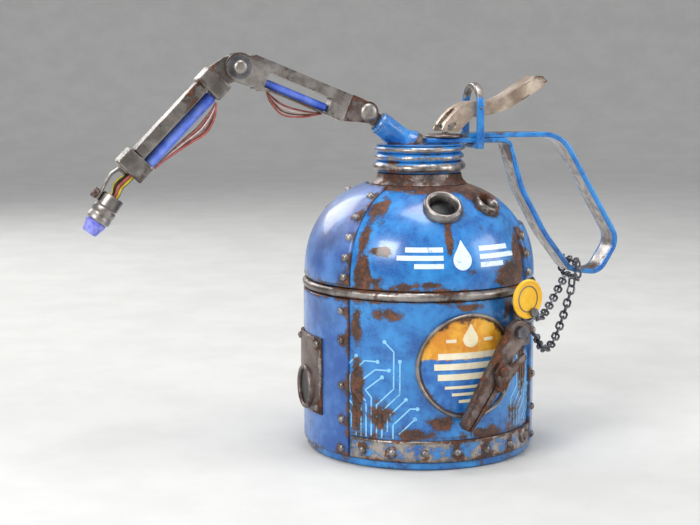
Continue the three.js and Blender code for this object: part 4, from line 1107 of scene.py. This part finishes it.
def wire_bundle(name, node, body, matrix, path, radius, spread, sag):
    """Thin wires that part in the middle of a bundle and meet at its ends."""
    materials = [FINISHES["wire_red"], WIRE_BROWN, WIRE_PALE]
    count = 8
    groups = [[] for _ in materials]
    for w in range(count):
        side = spread * (2 * w / (count - 1) - 1) + RNG.uniform(-0.2, 0.2)
        deep = 1 - sag * (w * 2 % count) / (count - 1)
        points = []
        for i, (x, y, z) in enumerate(path):
            share = i / (len(path) - 1)
            middle = sin(pi * share)
            end_z = path[0][2] + (path[-1][2] - path[0][2]) * share
            along = x + RNG.uniform(-0.4, 0.4) * middle
            point = Vector((along, y + side * (0.35 + 0.65 * middle), end_z + (z - end_z) * deep))
            points.append(matrix @ point)
        groups[w % len(groups)].append(tube(points, radius, 8, 8))
    for index, parts in enumerate(groups):
        piece(f"{name}_{index}", *add_up(*parts), body, "wire_red", () if index else [node],
              material=materials[index])


def build_arms():
    half_arm = 4.5
    refined("upper_arm_frame_shell", "upper_arm_frame", "upper_arm", "worn_steel", 0.45, 1.7)
    tube_piece("upper_arm_tube_skin", "upper_arm_tube", "upper_arm", UPPER_ARM, 12.8, 41.7, -1.75, 1.8)
    refined("shoulder_clevis_shell", "shoulder_clevis", "upper_arm", "rusty_steel", 0.45, 1.6)
    bolt_heads("shoulder_bolt_heads", "shoulder_bolt", SHOULDER, 3.9, 2.2, half_arm)
    bolt_heads("elbow_bolt_heads", "elbow_bolt", ELBOW, 3, 1.7, half_arm)
    ring = lathe([(3.3, 0), (4.9, 0), (4.9, 0.22), (3.3, 0.22)], 48)
    for name, side in (("near", -1), ("far", 1)):
        seat = facing(ELBOW + Vector((0, side * (half_arm - 0.1), 0)), (0, side, 0))
        piece(f"elbow_ring_{name}", *moved(ring, seat), "upper_arm", "dark_steel")
    upper_wires = [(15, 0, -4.8), (18.6, 0.4, -8.4), (25, 0.8, -11.4), (33, 0.6, -9.4), (41, 0, -4.6)]
    wire_bundle("upper_arm_wire", "upper_arm_wires", "upper_arm", UPPER_ARM, upper_wires, 0.36, 1.8, 0.7)

    refined("elbow_knuckle_shell", "elbow_knuckle", "forearm", "worn_steel", 0.35, 1.6)
    for which in ("upper", "lower"):
        refined(f"forearm_collar_{which}_shell", f"forearm_collar_{which}", "forearm", "worn_steel", 0.9, 1.5)
    refined("forearm_channel_shell", "forearm_channel", "forearm", "worn_steel", 0.45, 1.7)
    tube_piece("forearm_tube_skin", "forearm_tube", "forearm", FOREARM, 16.8, 55.4, 0, 2.6)
    fore_wires = [(17.2, 0, 3.4), (22, 0.6, 7), (30, 0.9, 8.8), (38, 0.6, 6.6), (48, 0.2, 4.2)]
    fore_wires.append((55.2, 0, 3.2))
    wire_bundle("forearm_wire", "forearm_wires", "forearm", FOREARM, fore_wires, 0.4, 2.4, 0.75)


def build_nozzle():
    turn = NOZZLE @ Matrix.Rotation(radians(90), 4, "Y")
    refined("wrist_bracket_shell", "wrist_bracket", "nozzle_head", "worn_steel", 0.25, 1.2)
    collar = [(3.4, -2.8), (4.4, -2.8), (4.8, -2.3), (4.8, 2.3), (4.4, 2.8), (1.5, 2.8)]
    collar += [(1.5, -1.2), (3.4, -1.2)]
    piece("nozzle_collar_ring", *moved(lathe(collar, 64), turn), "nozzle_head", "worn_steel",
          ["nozzle_collar"], wear=(0.2, 0.3))
    refined("wrist_knob_shell", "wrist_knob", "nozzle_head", "rusty_steel", 0.3, 1.2)
    ring = [(2.6, 3.1), (4.8, 3.1), (5.2, 3.6), (5.2, 5.2), (4.9, 5.6), (4.9, 6.8), (5.2, 7.2), (5.2, 8.8)]
    ring += [(4.8, 9.3), (2.6, 9.3)]
    piece("nozzle_grip_ring", *moved(lathe(ring, 64), turn), "nozzle", "worn_steel", ["nozzle_ring"],
          wear=(0.12, 0.3))
    tip = [(1, 9.5), (4.2, 9.5), (4.6, 10), (4.5, 10.8), (3.9, 12.6), (3.5, 14.2), (3.2, 15.2)]
    tip += [(2.8, 15.4), (1, 15.4)]
    piece("nozzle_tip_cone", *moved(lathe(tip, 64), turn), "nozzle", "violet_tip", ["nozzle_tip"])
    pivots = [tuple(NOZZLE @ Vector((x, 0, 0)) * MM) for x in (-13, -3)]
    kinds = [("wire_yellow", None), ("wire_red", None), ("wire_yellow", WIRE_DARK)]
    for index, (slot, material) in enumerate(kinds):
        parts = []
        for k in range(3 if index == 0 else 2):
            a = 2 * pi * (index + 3 * k) / 8
            dy, dz = 1.5 * cos(a), 1.4 * sin(a)
            path = [(-15.2, 0.8 * dy, 0.8 * dz + 1), (-12, 1.3 * dy, 1.2 * dz)]
            path += [(-7.5, 1.6 * dy, 1.3 * dz - 1), (-4, 0.9 * dy, dz), (-1.4, 0.8 * dy, 0.8 * dz)]
            parts.append(tube([NOZZLE @ Vector(p) for p in path], 0.62, 8, 8))
        hidden = () if index else ["wrist_wires"]
        wires = piece(f"wrist_wire_{index}", *add_up(*parts), None, slot, hidden, material=material)
        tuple(pivots[0])
        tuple(pivots[1])
        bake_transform(wires)


# ---- chain, tag, clip --------------------------------------------------------------------------


def link(centre, along, across, length=5.4, width=4.0, wire=0.52):
    """One chain link: an oval ring of round wire."""
    along, across = along.normalized(), across.normalized()
    straight, bend = (length - width) / 2, width / 2 - wire
    loop = []
    for a in turns(20):
        shift = copysign(straight, cos(a)) if cos(a) else -straight
        loop.append(centre + along * (shift + bend * cos(a)) + across * bend * sin(a))
    return tube(loop, wire, 8, 2, True)


def chain(name, node, points, pitch=3.7, closed=False):
    """Links at equal steps along a curve, each turned against the one before."""
    line = smooth_line(points, 16, closed)
    if closed:
        line.append(line[0])
    reach = [0.0]
    for a, b in zip(line, line[1:]):
        reach.append(reach[-1] + (b - a).length)
    count = max(2, round(reach[-1] / pitch))
    places = []
    for i in range(count):
        d = reach[-1] * (i + 0.5) / count
        k = min(max(int(np.searchsorted(reach, d)), 1), len(line) - 1)
        t = (d - reach[k - 1]) / max(reach[k] - reach[k - 1], 1e-9)
        places.append((line[k - 1].lerp(line[k], t), (line[k] - line[k - 1]).normalized()))
    parts = []
    for i, (centre, along) in enumerate(places):
        side = along.cross(Vector((0, 0, 1)))
        side = side.normalized() if side.length > 0.1 else along.cross(Vector((0, 1, 0))).normalized()
        other = side.cross(along)
        across = (side + other * 0.55) if i % 2 else (other - side * 0.55)
        parts.append(link(centre, along, across))
    piece(name, *add_up(*parts), "can", "dark_steel", [node], wear=(0.12, 0.2))


def build_spring():
    """Coil spring on the plunger rod: its top under the cap and its foot on the piston."""
    low, high = node_box("return_spring")
    wire, coils, steps = 0.4, 9, 12
    axis_x, radius = (low.x + high.x) / 2, (high.x - low.x) / 2 - wire
    foot, top = low.z + wire, high.z - wire
    coil = []
    for i in range(coils * steps + 1):
        a = 2 * pi * i / steps
        height = foot + (top - foot) * i / (coils * steps)
        coil.append((axis_x + radius * cos(a), radius * sin(a), height))
    spring = piece("return_spring_coil", *tube(coil, wire, 8, 2), None, "worn_steel", ["return_spring"])
    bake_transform(spring)


def build_chain():
    chain("chain_short_links", "chain_short_strand", [
        (69.9, -3.2, 72.4), (66.6, -7.2, 70.8), (62.8, -11.6, 68.4), (54.6, -21.2, 63.2), (46.6, -31, 60),
        (41, -38.4, 60.4), (37.2, -44.2, 63),
    ])
    chain("chain_slack_links", "chain_slack_strand", [
        (76.4, 3.4, 70.2), (76, 3.3, 65.4), (73, 0.2, 60.4), (69.6, -3.9, 56), (65.6, -8.7, 52),
        (61.6, -13.4, 48.2), (56.6, -19.4, 45), (50.4, -26.6, 44), (44.4, -33.8, 47), (40.4, -39.4, 51.2),
        (37, -43.6, 54.6),
    ])
    low, high = node_box("chain_wrap")
    x, half, bottom, top = (low.x + high.x) / 2, high.y - 1.4, low.z + 1.2, high.z - 1.2
    loop = [(x, y, bottom + (0.6 if abs(y) == half else 0)) for y in (-half, -half * 0.5, half * 0.5, half)]
    loop += [(x, y, top - (0.6 if abs(y) == half else 0)) for y in (half, half * 0.5, -half * 0.5, -half)]
    chain("chain_wrap_links", "chain_wrap", loop, 3.6, True)
    low, high = node_box("chain_ring")
    centre, size = (low + high) / 2, high - low
    across = radial(KEEPER_AZIMUTH + 90)
    lilac_highlight_mask = Vector((0, 0, 1))
    ring_r = size.z / 2 - 1
    loop = [centre + ring_r * (cos(a) * across + sin(a) * lilac_highlight_mask) for a in turns(24)]
    piece("chain_end_ring", *tube(loop, 0.95, 10, 3, True), "can", "dark_steel", ["chain_ring"])


def build_tag_and_clip():
    low, high = node_box("round_tag")
    centre = (low + high) / 2
    face = radial(KEEPER_AZIMUTH)
    radius = (high.z - low.z) / 2
    profile = [(0, -0.5), (radius - 0.2, -0.5), (radius, -0.2), (radius, 0.5), (radius - 0.4, 0.75)]
    profile.append((radius - 1, 0.7))
    profile += [(r, 0.42) for r in (radius - 1.3, radius * 0.7, radius * 0.35, 0)]

    def wear(x, y, z):
        return 0, 0.25 * exp(-abs((Vector((x, y, z)) - centre).length - radius) / 0.5)

    disc = moved(lathe(profile, 72), facing(centre, face))
    piece("round_tag_disc", *disc, "tag", "tag_yellow", ["round_tag"], wear=wear)
    seat = facing(centre + face * 0.4, face)
    ring = [(radius * 0.62, 0), (radius * 0.68, 0), (radius * 0.68, 0.16), (radius * 0.62, 0.16)]
    line = moved(lathe(ring, 64), seat)
    piece("round_tag_line", *line, "tag", "tag_yellow", material=FINISHES["rusty_steel"])
    refined("anchor_bracket_shell", "anchor_bracket", "can", "dark_steel", 0.3, 1.5)
    refined("clip_body_shell", "clip_body", "clip", "rusty_steel", 0.55, 1.4)
    refined("clip_jaw_shell", "clip_jaw", "clip_lever", "rusty_steel", 0.3, 1.4)


# ---- everything, floor and light ----------------------------------------------------------------


# CAD nodes that stay in view and are not worn steel
NODE_FINISH = {
    "dip_tube": "brass", "strainer": "brass", "pump_barrel": "brass", "neck_gasket": "rubber",
    "piston_cup": "leather", "port_glass": "dark_glass",
}


def dress_frame():
    """Gives the CAD nodes their finishes."""
    for name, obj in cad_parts.items():
        obj.data.materials.clear()
        obj.data.materials.append(FINISHES[NODE_FINISH.get(name, "worn_steel")])


def build_stage():
    flat, bend, around = 1.6, 0.9, 96
    bowl = [(0, 0), (flat, 0)]
    bowl += [(flat + bend * sin(a), bend - bend * cos(a)) for a in arc(0, 90, 12)[1:]]
    bowl.append((flat + bend, 1.6))
    verts = [(r * cos(a), r * sin(a), z) for a in turns(around) for r, z in bowl]
    last = len(bowl) - 1
    faces = [f[::-1] for f in loft(around, len(bowl)) if f[0] % len(bowl) < last]
    mesh = bpy.data.meshes.new("floor")
    mesh.from_pydata(verts, [], faces)
    for polygon in mesh.polygons:
        polygon.use_smooth = True
    mesh.materials.append(plain("floor_paint", "#c9c8c5", "#cfcecb", 0.8, 0.0, 20))
    floor = placed("floor", mesh)
    floor.location.z = -0.0003
    world = bpy.data.worlds.new("studio")
    world.use_nodes = True
    sky = world.node_tree.nodes["Background"].inputs
    sky["Color"].default_value = (0.86, 0.89, 0.93, 1)
    sky["Strength"].default_value = 0.6
    bpy.context.scene.world = world
    for name, place, size, power in (
        ("key", (-0.75, -0.55, 0.6), 0.35, 7), ("fill", (0.8, -0.5, 0.4), 0.5, 4),
        ("top", (0.05, -0.1, 1.1), 0.5, 6), ("rim", (-0.4, 0.8, 0.6), 0.5, 4),
    ):
        data = bpy.data.lights.new(name, "AREA")
        data.shape = "SQUARE"
        data.size = size
        data.energy = power
        lamp = placed(name, data)
        lamp.location = place
        lamp.rotation_euler = (Vector((0, 0, 0.08)) - Vector(place)).to_track_quat("-Z", "Y").to_euler()
    bpy.context.scene.view_settings.view_transform = "Standard"


dress_frame()
build_tank()
build_plates()
build_port()
build_portholes()
build_marks()
build_badge()
build_cap()
build_handle()
build_arch()
build_stub()
build_arms()
build_nozzle()
build_spring()
build_chain()
build_tag_and_clip()
build_stage()
